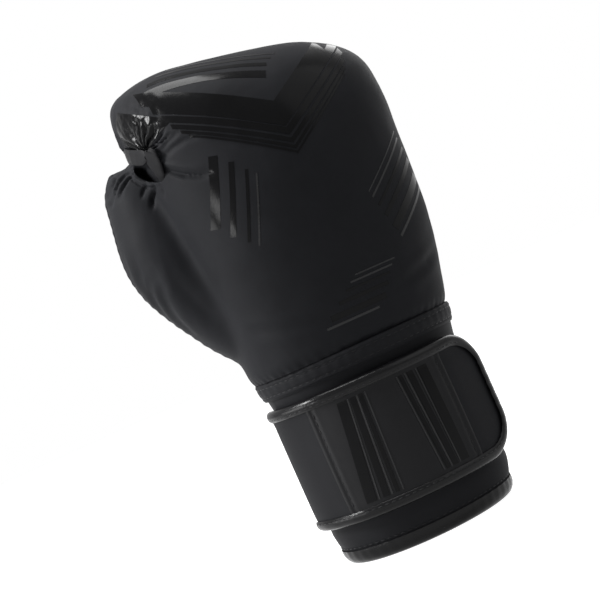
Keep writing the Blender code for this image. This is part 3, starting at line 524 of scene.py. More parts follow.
corner = {
    "middle": (142.0, 152.0), "reach": 50.0,
    "pit": (148.5, 172.6), "pitHalf": (16.0, 8.4), "pitTilt": 20.0, "pitDepth": 15.0,
    "nose": (138.0, 122.0), "noseReach": 26.0,
    "gatherTo": (145.0, 155.0), "gatherSector": (-1.15, 1.10), "gatherReach": 38.0, "gatherDepth": 2.3,
        "gatherEvery": 0.30,
    "creases": (
        # width, depth in mm (less than 0 for a ridge), the crease's points
        (1.7, 2.6, ((131.0, 167.5), (122.0, 170.0), (114.5, 177.0), (110.0, 188.0), (108.5, 198.0))),
        (1.7, 2.6, ((132.0, 171.0), (124.5, 174.5), (117.0, 183.0), (112.5, 195.0), (111.0, 206.0))),
        (1.5, 1.9, ((133.5, 174.5), (128.0, 179.0), (121.5, 189.0), (118.0, 200.0))),
        (1.3, 1.5, ((128.5, 165.5), (121.5, 166.5), (115.5, 170.5), (112.0, 175.0))),
        (1.3, -0.9, ((130.0, 170.5), (134.0, 177.5), (142.0, 182.5), (151.0, 185.5), (157.0, 184.5))),
        (1.2, 0.9, ((128.5, 173.5), (132.5, 180.5), (140.5, 185.8), (150.5, 188.6))),
        (2.0, 2.6, ((153.0, 184.0), (153.5, 191.0), (152.0, 199.0), (152.5, 208.0))),
        (1.8, 1.3, ((147.0, 184.0), (143.5, 190.0), (142.0, 197.0))),
        (1.8, 1.2, ((158.0, 183.0), (162.0, 189.0), (164.0, 197.0))),
        (3.0, 2.4, ((162.0, 168.5), (172.0, 172.5), (184.0, 175.5), (198.0, 176.0), (210.0, 175.0))),
        (2.6, -1.0, ((162.0, 163.0), (174.0, 165.0), (188.0, 167.5), (202.0, 168.5))),
        (3.2, 1.2, ((162.0, 158.0), (172.0, 148.0), (184.0, 140.0), (198.0, 135.0))),
        (3.0, 1.0, ((160.0, 152.0), (168.0, 141.0), (178.0, 132.0))),
    ),
    "bulges": (
        # middle, reach, push across and down in mm
        ((112.0, 173.0), 13.0, (-2.6, -1.8)), ((104.0, 215.0), 34.0, (2.0, 0.3)),
            ((112.0, 108.0), 20.0, (-2.0, -0.6)),
        ((150.0, 75.0), 40.0, (-0.8, -1.4)), ((126.0, 146.0), 12.0, (1.8, 0.4)),
    ),
}
pixelScale = 600.0 * view["distance"] / view["frameWidth"]

def pictureSpots(points):
    # where points come out in the photograph's frame, which is 600 by 600
    turned = np.array(bpy.context.scene.camera.matrix_world.inverted())
    seen = points @ turned[:3, :3].T + turned[:3, 3]
    return np.stack([300.0 - seen[:, 0] / seen[:, 2] * pixelScale, 300.0 + seen[:, 1] / seen[:, 2] * pixelScale],
        axis=1)

def pictureHit(skin, x, y, off=0.0, toward=None):
    # where the line of sight through a pixel meets a skin, or what lies nearest to it at the lock's depth
    camera = bpy.context.scene.camera.matrix_world
    ray = (camera.to_3x3() @ Vector(((x - 300.0) / pixelScale, (300.0 - y) / pixelScale, -1.0))).normalized()
    spot, normal, index, gap = skin.ray_cast(camera.translation, ray)
    if spot is None:
        spot, normal, index, gap = skin.find_nearest(camera.translation + ray * (view["distance"] - 0.035))
    if normal.dot(ray) > 0.0:
        normal = -normal
    return spot + (toward or normal) * off * mm, normal

def smoothStep(value, low, high):
    share = np.clip((value - low) / (high - low), 0.0, 1.0)
    return share * share * (3.0 - 2.0 * share)

def refine(piece, middle, reach):
    # finer faces on the seen side round one spot of the picture
    near = np.linalg.norm(pictureSpots(getPoints(piece)) - middle, axis=1) < reach
    near &= getNormals(piece) @ np.array(cameraBack) > -0.3
    def split(bm):
        edges = [edge for edge in bm.edges if near[edge.verts[0].index] and near[edge.verts[1].index]]
        bmesh.ops.subdivide_edges(bm, edges=edges, cuts=1, use_grid_fill=True)
    return editMesh(piece, split)

def pictureGap(spots, path):
    # how far spots lie from a line in the picture, in pixels, and how far along it
    flat = np.column_stack([spots, np.zeros(len(spots))]) * mm
    gap, along = distanceTo(flat, [(x, y, 0.0) for x, y in path])
    return gap / mm, along

def bulgeCorner():
    points = getPoints(mittPiece)
    spots = pictureSpots(points)
    turned = np.array(bpy.context.scene.camera.matrix_world)
    for middle, reach, (across, down) in corner["bulges"]:
        share = bell(np.linalg.norm(spots - middle, axis=1), reach)
        points += share[:, None] * (turned[:3, 0] * across - turned[:3, 1] * down) * mm
    setPoints(mittPiece, points)

def carveCorner():
    points, normals = getPoints(mittPiece), getNormals(mittPiece)
    spots = pictureSpots(points)
    back = np.array(cameraBack)
    front = smoothStep(normals @ back, 0.02, 0.30)
    lift = np.zeros(len(points))
    for width, depth, path in corner["creases"]:
        gap, along = pictureGap(spots, path)
        lift -= depth * bell(gap, width) * np.sin(np.clip(along, 0.03, 0.97) * math.pi) ** 0.45
    # gathers that all run to one point
    offset = spots - corner["gatherTo"]
    reach, turn = np.hypot(offset[:, 0], offset[:, 1]), np.arctan2(offset[:, 0], -offset[:, 1])
    low, high = corner["gatherSector"]
    sector = smoothStep(turn, low, low + 0.25) * (1.0 - smoothStep(turn, high - 0.3, high))
    fade = smoothStep(reach, 1.0, 9.0) * (1.0 - smoothStep(reach, 0.55 * corner["gatherReach"],
        corner["gatherReach"]))
    wander = turn + 0.07 * np.sin(turn * 6.0 + 0.8) + 0.05 * np.sin(reach * 0.16 + turn * 3.0)
    valley = 1.0 - np.abs(np.sin(wander / corner["gatherEvery"] * math.pi)) ** 0.65
    lift -= corner["gatherDepth"] * valley * sector * fade
    lift -= 2.4 * bell(reach, 7.0)
    nose = bell(np.hypot(*(spots - corner["nose"]).T), corner["noseReach"])
    for index in np.nonzero(nose > 0.02)[0]:
        spot = Vector(points[index]) / (6.0 * mm)
        lift[index] += nose[index] * (0.75 * noise.noise(spot) + 0.35 * noise.noise(spot * 2.3))
    # the pit between thumb and fist, below the lock
    tilt = math.radians(corner["pitTilt"])
    offset = spots - corner["pit"]
    across = (offset[:, 0] * math.cos(tilt) + offset[:, 1] * math.sin(tilt)) / corner["pitHalf"][0]
    down = (offset[:, 1] * math.cos(tilt) - offset[:, 0] * math.sin(tilt)) / corner["pitHalf"][1]
    inside = 1.0 - smoothStep(np.hypot(across, down), 0.66, 1.08)
    deep = corner["pitDepth"] * inside * np.clip((spots[:, 0] - 124.0) / 14.0, 0.3, 1.0)
    moved = points + (normals * (lift * front)[:, None] - back * (deep * front)[:, None]) * mm
    setPoints(mittPiece, moved)

refine(mittPiece, corner["middle"], corner["reach"])
bulgeCorner()
plainSkin = skinOf(mittPiece)
carveCorner()
print("corner round the lock", len(mittPiece.data.polygons))

# ---- hand lining, and the mitt's hollow

handForm = softForm("handForm", [handRing(row) for row in handRows], 10, hand["lining"])
thumbRoom = thumbForm("thumbRoomForm", hand["thumbRoom"], hand["thumbRoom"], hand["thumbRoomTip"], hand["lining"])
handLining = remeshed(joined("handLining", [handForm, thumbRoom]), hand["voxel"], 4)
openBelow(handLining, mitt["lowerEdge"])

def hollow(piece, lining, gap):
    # the mitt's inner wall: the lining's outside, turned round and joined to the lower edge
    bm = bmesh.new()
    bm.from_mesh(lining.data)
    for vert in bm.verts:
        vert.co += vert.normal * gap * mm
        vert.co.z = max(vert.co.z, mitt["lowerEdge"] * mm)
    for vert in bm.verts:
        if vert.is_boundary:
            vert.co.z = mitt["lowerEdge"] * mm
    bmesh.ops.reverse_faces(bm, faces=bm.faces)
    bm.from_mesh(piece.data)
    bmesh.ops.bridge_loops(bm, edges=[edge for edge in bm.edges if edge.is_boundary])
    bmesh.ops.recalc_face_normals(bm, faces=bm.faces)
    bm.to_mesh(piece.data)
    bm.free()

hollow(mittPiece, handLining, 0.5)

def settle(piece, material, body="glove", nodes=(), smooth=True):
    # the last step of every piece: its material, its slot, the body it rides on, the nodes it stands for
    piece.data.materials.clear()
    piece.data.materials.append(material)
    piece.data.polygons.foreach_set("use_smooth", [smooth] * len(piece.data.polygons))
    piece.data.set_sharp_from_angle(angle=math.radians(50.0))
    if body:
        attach(piece, body)
    if nodes:
        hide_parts(*nodes)
    return piece

thicken(handLining, hand["lining"])

def unrolled(bm):
    # cloth laid round the hand's middle line, in metres
    layer = bm.loops.layers.uv.verify()
    for face in bm.faces:
        for loop in face.loops:
            spot = loop.vert.co - Vector(cuffAxis)
            loop[layer].uv = (0.045 * math.atan2(spot.y, spot.x), spot.z)

editMesh(handLining, unrolled)
settle(handLining, liningCloth, nodes=["hand_liner"])
mittNodes = ["back_panel", "palm_panel", "thumb_palm_panel", "knuckle_pad", "palm_pad", "thumb_pad"]
settle(mittPiece, mittLeather, nodes=mittNodes)
print("hand lining and hollow")

mittSkin = skinOf(mittPiece)

def onMitt(start, direction, off=0.0):
    # where a ray meets the mitt, moved off its surface, and the way it faces there
    spot, normal, index, gap = mittSkin.ray_cast(Vector(start) * mm + Vector(cuffAxis),
        Vector(direction).normalized())
    if spot is None:
        return None, None
    if normal.dot(Vector(direction)) > 0.0:
        normal = -normal
    return spot + normal * off * mm, normal

# ---- threads

def stitches(name, lines, length, radius, body="glove", gap=1.3):
    # separate stitches of waxed thread laid along lines of (point, normal)
    bm = bmesh.new()
    for line in lines:
        points, normals = (np.array([tuple(pair[part]) for pair in line]) for part in (0, 1))
        runs = lengthsAlong(points)
        count = int(runs[-1] // ((length + gap) * mm))
        for number in range(count):
            begin = (number + 0.5) * runs[-1] / count - length * mm / 2.0
            at = np.interp((begin, begin + length * mm / 2.0, begin + length * mm), runs, np.arange(len(runs)))
            start, end = (Vector(spot) for spot in pathAt(points, at[[0, 2]]))
            up = Vector(pathAt(normals, at[1])).normalized()
            along = (end - start).normalized()
            side = up.cross(along).normalized()
            turn = Matrix((along, side, along.cross(side))).transposed().to_4x4()
            size = Matrix.Diagonal((length * mm / 2.0, radius * mm, radius * 0.8 * mm, 1.0))
            place = Matrix.Translation((start + end) / 2.0) @ turn @ size @ Matrix.Rotation(math.pi / 2.0, 4, "Y")
            bmesh.ops.create_uvsphere(bm, u_segments=6, v_segments=5, radius=1.0, matrix=place)
    return settle(meshObject(name, bm), threadMaterial, body)

# ---- the cuff's oval, laid out flat

cuff = {
    "halfWidth": 57.0, "halfDepth": 46.5,
    "heights": (0.0, 6.0, 12.0, 18.0, 26.0, 34.0, 90.0, 98.0, 106.0, 112.0, 116.0),
    "drawnIn": (6.0, 4.0, 2.5, 1.4, 0.55, 0.0, 0.0, -0.75, -2.2, -3.3, -4.0),
    "bottom": 1.3, "top": 115.85, "wall": 8.8, "lining": 1.0,
    "slitOffset": 4.0, "slitTop": 92.0, "slitHem": 5.5, "slitEnd": 2.5,
}

def arcTable():
    angles = np.linspace(-2.0 * math.pi, 2.0 * math.pi, 2881) - math.pi / 2.0
    steps = np.hypot(np.diff(cuff["halfWidth"] * np.cos(angles)), np.diff(cuff["halfDepth"] * np.sin(angles)))
    distance = np.concatenate([[0.0], np.cumsum(steps)])
    return distance - np.interp(-math.pi / 2.0, angles, distance), angles

arcDistance, arcAngle = arcTable()
cuffRound = float(arcDistance[-1] - arcDistance[0]) / 2.0
slitMiddle = cuffRound / 2.0 - cuff["slitOffset"]

def cuffPoints(around, z, out):
    # points that far round the cuff, at that height and that far off its cover, in mm
    around, z, out = np.broadcast_arrays(np.asarray(around, float), np.asarray(z, float), np.asarray(out, float))
    angle = np.interp(around, arcDistance, arcAngle)
    drawn = np.interp(z, cuff["heights"], cuff["drawnIn"])
    reachX, reachY = cuff["halfWidth"] - drawn, cuff["halfDepth"] - drawn
    alongX, alongY = np.cos(angle) / reachX, np.sin(angle) / reachY
    size = np.hypot(alongX, alongY)
    x = reachX * np.cos(angle) + out * alongX / size
    y = reachY * np.sin(angle) + out * alongY / size
    return np.stack([x, y, z], axis=-1) * mm + cuffAxis

def cuffPoint(around, z, out):
    return Vector(cuffPoints(around, z, out))

def gridPiece(name, columns, rows, place, close=False):
    # a grid laid through place(u, v), with its flat sizes kept as its UV map, in metres
    bm = bmesh.new()
    bmesh.ops.create_grid(bm, x_segments=columns, y_segments=rows, size=0.5)
    bm.verts.ensure_lookup_table()
    flat = np.array([tuple(vert.co) for vert in bm.verts])[:, :2] + 0.5
    spots, around, height = place(np.clip(flat[:, 0], 0.0, 1.0), np.clip(flat[:, 1], 0.0, 1.0))
    layer = bm.loops.layers.uv.verify()
    for face in bm.faces:
        for loop in face.loops:
            index = loop.vert.index
            loop[layer].uv = (around[index] * mm, height[index] * mm)
    for vert, spot in zip(bm.verts, spots):
        vert.co = spot
    if close:
        bmesh.ops.remove_doubles(bm, verts=bm.verts, dist=weld)
        edges = [edge for edge in bm.edges if edge.is_boundary]
        if edges:
            bmesh.ops.holes_fill(bm, edges=edges, sides=0)
        bmesh.ops.recalc_face_normals(bm, faces=bm.faces)
        if bm.calc_volume(signed=True) < 0.0:
            bmesh.ops.reverse_faces(bm, faces=bm.faces)
    return meshObject(name, bm)

def wrapSheet(name, around, z, out, thickness, columns, rows, relief=None, edges=None):
    # a sheet round the cuff; edges(z) gives its two ends, relief(around, z) lifts its outer face
    def place(u, v):
        height = z[0] + v * (z[1] - z[0])
        first, last = edges(height) if edges else (around[0], around[1])
        run = first + u * (last - first)
        face = out + (relief(run, height) if relief else 0.0)
        return cuffPoints(run, height, face), run, height
    return thicken(gridPiece(name, columns, rows, place), thickness)

def sweepPiece(name, path, profile, relief=None):
    # a closed profile of (side, out) swept along a flat path of (around, z); side is to the path's left
    path, profile = np.array(path, float), np.array(list(profile) + [profile[0]], float)
    heading, runs, rims = headings(path), lengthsAlong(path), lengthsAlong(profile)
    def place(u, v):
        at, ring = u * (len(path) - 1), v * (len(profile) - 1)
        centre, ahead = pathAt(path, at), pathAt(heading, at)
        ahead /= np.linalg.norm(ahead, axis=1)[:, None]
        side, out = pathAt(profile, ring).T
        if relief is not None:
            out = out + relief(centre[:, 0], centre[:, 1], side, out)
        run, height = centre[:, 0] - ahead[:, 1] * side, centre[:, 1] + ahead[:, 0] * side
        return cuffPoints(run, height, out), np.interp(at, np.arange(len(path)), runs), np.interp(ring,
            np.arange(len(profile)), rims)
    return gridPiece(name, len(path) - 1, len(profile) - 1, place, close=True)

def cuffLine(around, z, out, lift=None):
    # a line on the cuff for stitches, as points and the ways they face
    around, z = np.broadcast_arrays(np.asarray(around, float), np.asarray(z, float))
    out = np.asarray(out, float) + (lift(around) if lift else 0.0)
    low, high = cuffPoints(around, z, out), cuffPoints(around, z, out + 1.0)
    return [(Vector(a), (Vector(b) - Vector(a)).normalized()) for a, b in zip(low, high)]

def slitHalf(z):
    return np.interp(z, (0.0, cuff["slitTop"], cuff["slitTop"] + 5.0, 120.0),
        (cuff["slitHem"], cuff["slitEnd"], 0.15, 0.15))

def cuffEdges(z):
    return slitMiddle - cuffRound + slitHalf(z), slitMiddle - slitHalf(z)

def cuffRelief(around, z):
    wave = np.sin(around * 0.055 + 1.3) * np.sin(z * 0.045) * 0.35
    crease = -0.5 * bell(z - 24.0 - 2.0 * np.sin(around * 0.03), 3.0)
    bulge = 2.2 * bell(around - 84.0, 30.0) * bell(z - 20.0, 11.0)
    return wave + crease * (z < 40.0) + bulge

cuffWall = wrapSheet("cuffWall", None, (cuff["bottom"], cuff["top"]), 0.0, cuff["wall"], 150, 52, cuffRelief,
    cuffEdges)
settle(cuffWall, cuffLeather, nodes=["cuff_cover", "cuff_pad"])

cuffLining = wrapSheet("cuffLining", None, (cuff["bottom"], cuff["top"]), -cuff["wall"] - 0.3, cuff["lining"], 110,
    40, lambda a, z: 0.10 * np.sin(a * 0.21) * np.sin(z * 0.12) - 0.10, cuffEdges)
settle(cuffLining, liningCloth, nodes=["cuff_liner"])
print("cuff wall and lining")

# ---- hem and slit bindings

hem = {
    # side is up from the hem, out is off the cover
    "profile": ((8.6, 0.35), (8.9, 0.95), (7.6, 1.35), (5.2, 1.75), (2.8, 1.55), (1.0, 0.7), (0.15, -0.9),
        (0.0, -2.8), (0.0, -5.0),
                (0.0, -7.4), (0.15, -9.4), (1.0, -10.9), (2.8, -11.5), (5.2, -11.7), (7.6, -11.4), (8.9, -11.0),
                    (8.6, -10.4),
                (1.2, -10.35), (1.0, -9.0), (1.0, -1.0), (1.2, 0.25)),
    "slitProfile": ((7.7, 0.35), (8.0, 0.95), (6.8, 1.3), (4.0, 1.5), (1.2, 1.15), (-0.7, 0.1), (-1.25, -1.8),
        (-1.3, -5.0),
                    (-1.25, -8.2), (-0.7, -10.1), (1.2, -11.2), (4.0, -11.5), (6.8, -11.35), (8.0, -11.0),
                        (7.7, -10.4),
                    (-0.15, -10.35), (-0.25, -5.0), (-0.15, 0.25)),
}

def pucker(every, height):
    # small gathers along a binding's seam
    def relief(around, z, side, out):
        return height * np.sin(around * 2.0 * math.pi / every) * np.clip(side / 8.0, 0.0, 1.0) * (out > 0.5)
    return relief

start, end = slitMiddle - cuffRound + cuff["slitHem"], slitMiddle - cuff["slitHem"]
hemLine = [(a, 0.0) for a in np.linspace(start, end, 180)]
hemBinding = sweepPiece("hemBinding", hemLine, hem["profile"], pucker(7.0, 0.16))
settle(hemBinding, glossBinding, nodes=["hem_binding"])

slitSides = (("slitEdgeFinger", "slit_binding_finger", 1.0), ("slitEdgeThumb", "slit_binding_thumb", -1.0))
def slitLine(side, heights, off=0.0):
    # up one edge of the slit, that far away from it; the side is 1 at the fingers and -1 at the thumb
    middle = slitMiddle if side > 0 else slitMiddle - cuffRound
    return [(middle - side * (float(slitHalf(z)) + off), z) for z in heights]

for name, node, side in slitSides:
    path = slitLine(side, np.linspace(9.3, cuff["slitTop"] - 0.3, 40))
    piece = sweepPiece(name, path if side > 0 else path[::-1], hem["slitProfile"])
    settle(piece, glossBinding, nodes=[node])

def gussetRelief(around, z):
    return 0.35 * np.sin(z * 2.0 * math.pi / 3.2) * bell(around - slitMiddle, 9.0) - 0.35

slitGusset = wrapSheet("slitGusset", (slitMiddle - 17.0, slitMiddle + 17.0), (14.0, 103.0), -11.7, 1.0, 24, 110,
    gussetRelief)
settle(slitGusset, elasticCloth, nodes=["slit_gusset"])

innerLabel = wrapSheet("innerLabel", (-21.0, 9.0), (16.0, 38.0), -10.4, 0.4, 20, 14)
settle(innerLabel, liningCloth, nodes=["inner_label"])
print("bindings, gusset, label")

# ---- wrist band

band = {"low": 105.0, "high": 115.85, "out": 1.75, "thickness": 1.4, "stitchHeights": (107.6, 113.2)}

def bandRelief(around, z):
    crown = 0.25 - 1.0 * bell(z - band["high"], 1.1) - 0.7 * bell(z - band["low"], 1.0)
    rows = sum(bell(z - height, 0.9) for height in band["stitchHeights"])
    return crown - 0.35 * rows + 0.12 * np.sin(around * 2.0 * math.pi / 6.4) * (z > 108.0)

def bandPiece():
    def place(u, v):
        around = u * cuffRound
        z = band["low"] + v * (band["high"] - band["low"])
        return cuffPoints(around, z, band["out"] + bandRelief(around, z)), around, z
    ring = gridPiece("wristBand", 260, 22, place)
    editMesh(ring, lambda bm: bmesh.ops.remove_doubles(bm, verts=bm.verts, dist=weld))
    return thicken(ring, band["thickness"])

settle(bandPiece(), cuffLeather, nodes=["wrist_band"])
everyWay = np.linspace(0.0, cuffRound, 260)
stitches("bandStitches", [cuffLine(everyWay, height, band["out"] - 0.1) for height in band["stitchHeights"]], 3.0,
    0.34)
stitches("hemStitches", [cuffLine(np.linspace(start + 2.0, end - 2.0, 260), 10.4, 0.25)], 2.8, 0.32)
slitRows = [slitLine(side, np.linspace(12, 92, 40), 9.1) for name, node, side in slitSides]
stitches("slitStitches", [cuffLine(*np.array(row).T, 0.2) for row in slitRows], 2.8, 0.32)
print("wrist band")

# ---- strap

strap = {
    "low": 26.2, "high": 98.2, "hinge": -82.0, "end": 57.0, "corner": 21.0, "root": -185.0, "rootTab": 26.0,
    "patchStart": -50.0, "patchEnd": 28.0, "face": 6.3, "patch": 6.6, "skin": 0.8, "patchSkin": 1.1, "inner": 2.5,
    "elastic": (2.5, 4.3), "elasticMargin": 4.0, "elasticJoin": -135.0, "tapeMargin": 12.0,
    "loop": (-40.0, 50.0, 1.1, 0.8), "hook": (-8.0, 45.0, 2.2, 0.8),
    "standOff": 3.2, "sitCloser": 1.7,
}

def flapLift(around):
    # the free end stands a little off the cuff, and past the tapes the strap lies closer to it
    past = np.clip((-42.0 - around) / 18.0, 0.0, 1.0)
    return strap["standOff"] * np.clip((around - 36.0) / 21.0, 0.0,
        1.2) ** 2 - strap["sitCloser"] * past ** 2 * (3.0 - 2.0 * past)

def flapPlace(first, last, out, relief):
    # the flap's flat shape between two lines across it, with the rounded corners of its free end
    corner, end = strap["corner"], strap["end"]
    middle, half = (strap["low"] + strap["high"]) / 2.0, (strap["high"] - strap["low"]) / 2.0
    def place(u, v):
        run = first + u * (last - first)
        if last > end - corner:
            bend = (end - corner - first) / (last - first) * 0.75
            turn = np.clip((u - bend) / (1.0 - bend), 0.0, 1.0) * math.pi / 2.0
            reach = (last - (end - corner)) / corner
            run = np.where(u < bend, first + u / bend * (end - corner - first),
                end - corner + corner * np.sin(turn) * reach)
        past = np.clip((run - (end - corner)) / corner, 0.0, 1.0)
        tall = half - corner * (1.0 - np.sqrt(np.clip(1.0 - past ** 2, 0.0, 1.0)))
        z = middle + (v * 2.0 - 1.0) * tall
        face = out + flapLift(run) + relief(run, z, v)
        return cuffPoints(run, z, face), run, z
    return place

def flapSheet(name, first, last, out, thickness, columns, rows, relief):
    return thicken(gridPiece(name, columns, rows, flapPlace(first, last, out, relief)), thickness)

def puffy(height):
    # fuller in the middle than at the edges
    return lambda run, z, v: height * crowned(v)

def patchRelief(run, z, v):
    ridge = 0.0
    for edge, side in ((strap["patchStart"], 1.0), (strap["patchEnd"], -1.0)):
        into = (run - edge) * side
        ridge = ridge + 0.55 * bell(into - 1.3, 1.2) - 0.40 * bell(into - 3.3, 0.8) + 0.25 * bell(into - 5.2, 1.4)
    return ridge + 0.35 * crowned(v) + 0.12 * np.sin(run * 0.17 + z * 0.06)

seamHalf = 0.2
hinge, flapEnd, face, skin = strap["hinge"] + 0.25, strap["end"], strap["face"], strap["skin"]
patchStart, patchEnd = strap["patchStart"], strap["patchEnd"]
flapParts = (
    # name, from, to, height of its face, thickness, columns, rows, relief, material, slot, nodes
    ("flapLining", hinge, flapEnd, face - skin - 0.3, 2.7, 90, 40, puffy(0.0), liningCloth, "cover",
        ["flap_lining", "flap_foam"]),
    ("faceThumb", hinge, patchStart - seamHalf, face, skin, 24, 44, puffy(0.3), cuffLeather, "cover",
        ["flap_face_thumb"]),
    ("facePatch", patchStart + seamHalf, patchEnd - seamHalf, strap["patch"], strap["patchSkin"], 110, 60,
        patchRelief, patchLeather, "patch", ["flap_patch"]),
    ("faceEnd", patchEnd + seamHalf, flapEnd, face, skin, 30, 44, puffy(0.5), cuffLeather, "cover",
        ["flap_face_end"]),
)
for name, *shape, material, slotName, nodes in flapParts:
    piece = settle(flapSheet(name, *shape), material, "strap_flap", nodes)

def flapOutline(steps=14):
    # from the hinge along the lower edge, round both corners and back along the upper edge
    corner, end, low, high = strap["corner"], strap["end"], strap["low"], strap["high"]
    bend = np.linspace(0.0, math.pi / 2.0, steps)[1:]
    path = [(a, low) for a in np.linspace(hinge, end - corner, 50)]
    path += [(end - corner + corner * math.sin(t), low + corner - corner * math.cos(t)) for t in bend]
    path += [(end, z) for z in np.linspace(low + corner, high - corner, 10)[1:]]
    path += [(end - corner + corner * math.cos(t), high - corner + corner * math.sin(t)) for t in bend]
    return path + [(a, high) for a in np.linspace(end - corner, hinge, 50)[1:]]

tube = (
    (4.8, 6.75), (5.2, 7.15), (4.6, 7.7), (3.2, 8.2), (1.6, 8.2), (0.0, 7.5), (-1.1, 6.3), (-1.5, 4.7), (-1.1, 3.0),
        (0.0, 1.95), (1.6, 1.35),
    (3.2, 1.2), (4.6, 1.4), (5.2, 1.85), (4.8, 2.35), (0.3, 2.4), (-0.25, 3.2), (-0.35, 4.6), (-0.25, 6.0),
        (0.3, 6.7),
)

def tubeRelief(around, z, side, out):
    wave = 0.14 * np.sin((around * 0.9 + z) * 2.0 * math.pi / 6.5) * np.clip(side / 5.0, 0.0, 1.0)
    return flapLift(around) + wave * (out > 5.0)

flapBinding = sweepPiece("flapBinding", flapOutline(), tube, tubeRelief)
settle(flapBinding, glossBinding, "strap_flap", ["flap_binding"])

def insetLine(inset, out):
    # the flap's outline moved inwards, for the stitches beside the binding
    path = np.array(flapOutline(24), float)
    heading = headings(path)
    return cuffLine(path[:, 0] - heading[:, 1] * inset, path[:, 1] + heading[:, 0] * inset, out, flapLift)

stitches("flapEdgeStitches", [insetLine(3.6, 8.1)], 2.8, 0.34, "strap_flap")
tall = np.linspace(strap["low"] + 7.5, strap["high"] - 7.5, 40)
rows = [cuffLine(np.full(40, a), tall, 6.75, flapLift) for a in (patchStart + 3.3, patchEnd - 3.3)]
stitches("patchStitches", rows, 2.8, 0.32, "strap_flap")

tapeZ = (strap["low"] + strap["tapeMargin"], strap["high"] - strap["tapeMargin"])
def pile(around, z):
    return 0.12 * np.sin(around * 2.1) * np.sin(z * 1.9)

first, last, out, thick = strap["loop"]
loopPatch = wrapSheet("loopPatch", (first, last), tapeZ, out - 0.1, thick, 90, 48, pile)
settle(loopPatch, loopPile, nodes=["loop_patch"])
first, last, out, thick = strap["hook"]
hookPatch = wrapSheet("hookPatch", (first, last), tapeZ, out, thick, 53, 48)
settle(hookPatch, hookTape, "strap_flap", ["hook_patch"])

elasticZ = (strap["low"] + strap["elasticMargin"], strap["high"] - strap["elasticMargin"])
def ribs(around, z):
    return 0.12 * np.sin(z * 2.0 * math.pi / 3.0) - 0.12

def elasticPart(name, first, last, nodes, ends):
    # half of the elastic stretch, wrapped round the cuff between first and last; the points at the ends given are
    # worked out and dropped
    part = wrapSheet(name, (first, last), elasticZ, strap["elastic"][1] - strap["sitCloser"], 1.8, 50, 110, ribs)
    settle(part, elasticCloth, None, nodes)
    tuple(cuffPoint(ends[0], 62.0, 3.4))
    tuple(cuffPoint(ends[1], 62.0, 3.4))
    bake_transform(part)
    return part

root, join = strap["root"], strap["elasticJoin"]
rootElastic = elasticPart("rootElastic", root + 0.25, join - 0.1, [],
    (root - 1.0, root + 14.0))
bend = strap["hinge"]
flapElastic = elasticPart("flapElastic", join + 0.1, bend - 0.25, ["strap_elastic"],
    (bend - 16.0, bend + 0.5))

def tabRelief(around, z):
    return 0.3 * bell(around - root + 13.0, 9.0) * (1.0 - np.abs((z - 62.2) / 32.0) ** 4) - 0.15

rootTab = wrapSheet("rootTab", (root - strap["rootTab"], root - 0.25), elasticZ, strap["elastic"][1], 4.0, 26, 44,
    tabRelief)
settle(rootTab, cuffLeather, nodes=["strap_root"])
low, high = elasticZ
left, right = root - strap["rootTab"] + 3.0, root - 3.2
boxLines = [cuffLine(np.full(30, a), np.linspace(low + 4, high - 4, 30), 4.35) for a in (left, right)]
boxLines += [cuffLine(np.linspace(left, right, 12), np.full(12, z), 4.35) for z in (low + 3.6, high - 3.6)]
boxLines += [cuffLine(np.linspace(left, right, 30), np.linspace(low + 4, high - 4, 30)[::way], 4.45) for way in (1,
    -1)]
stitches("rootStitches", boxLines, 2.8, 0.34)
print("strap")

# ---- grip roll and thumb lock

def gripPiece():
    left, right = hand["gripEnds"]
    def place(u, v):
        across, turn, edge = left + u * (right - left), v * 2.0 * math.pi, np.abs(u * 2.0 - 1.0)
        gather = 1.0 - 0.012 * (1.0 + np.sin(turn * 9.0)) * edge ** 4
        radius = hand["gripRadius"] * (1.0 - 0.10 * edge ** 8) * gather
        spots = np.stack([across, hand["gripY"] + radius * np.cos(turn), hand["gripZ"] + radius * np.sin(turn)],
            axis=1)
        return spots * mm + cuffAxis, across, turn * hand["gripRadius"]
    return gridPiece("gripRoll", 48, 40, place, close=True)

gripRoll = settle(gripPiece(), liningCloth, nodes=["grip_bar"])

lock = {
    # the tab's middle line, from the pit's rim through the notch, in mm from the cuff's axis
    "path": ((-71.2, -30.0, 256.6), (-72.6, -26.0, 258.0), (-73.8, -21.0, 259.8), (-74.8, -14.0, 262.4),
             (-74.6, -6.0, 265.2), (-73.2, 3.0, 267.2), (-72.0, 11.0, 268.0), (-70.8, 18.0, 268.4)),
    "facing": ((-0.78, -0.62, 0.10), (-0.82, -0.56, 0.08), (-0.90, -0.42, 0.06), (-0.97, -0.20, 0.04),
               (-0.99, 0.10, 0.04), (-0.98, 0.16, 0.04), (-0.98, 0.16, 0.04), (-0.98, 0.16, 0.04)),
    "width": 7.8, "thickness": 1.8, "off": 1.2,
    # the stitched loop over its end, in pixels of the picture: middle line and half width
    "loopPath": ((163.0, 180.0), (161.5, 174.0), (157.5, 165.5), (153.0, 158.0), (149.5, 150.5)),
    "loopHalf": (2.0, 3.4, 5.4, 6.4, 6.6), "loopThickness": 1.5, "loopOff": (-4.5, -0.6, 1.2, 2.0, 2.0),
}

def lockFrame(u):
    # point, facing and cross direction along the tab
    path, at = np.array(lock["path"]), np.asarray(u) * (len(lock["path"]) - 1)
    centre, ahead, face = pathAt(path, at), pathAt(np.gradient(path, axis=0), at), pathAt(lock["facing"], at)
    ahead /= np.linalg.norm(ahead, axis=-1)[..., None]
    side = np.cross(ahead, face)
    return centre, face, side / np.linalg.norm(side, axis=-1)[..., None]

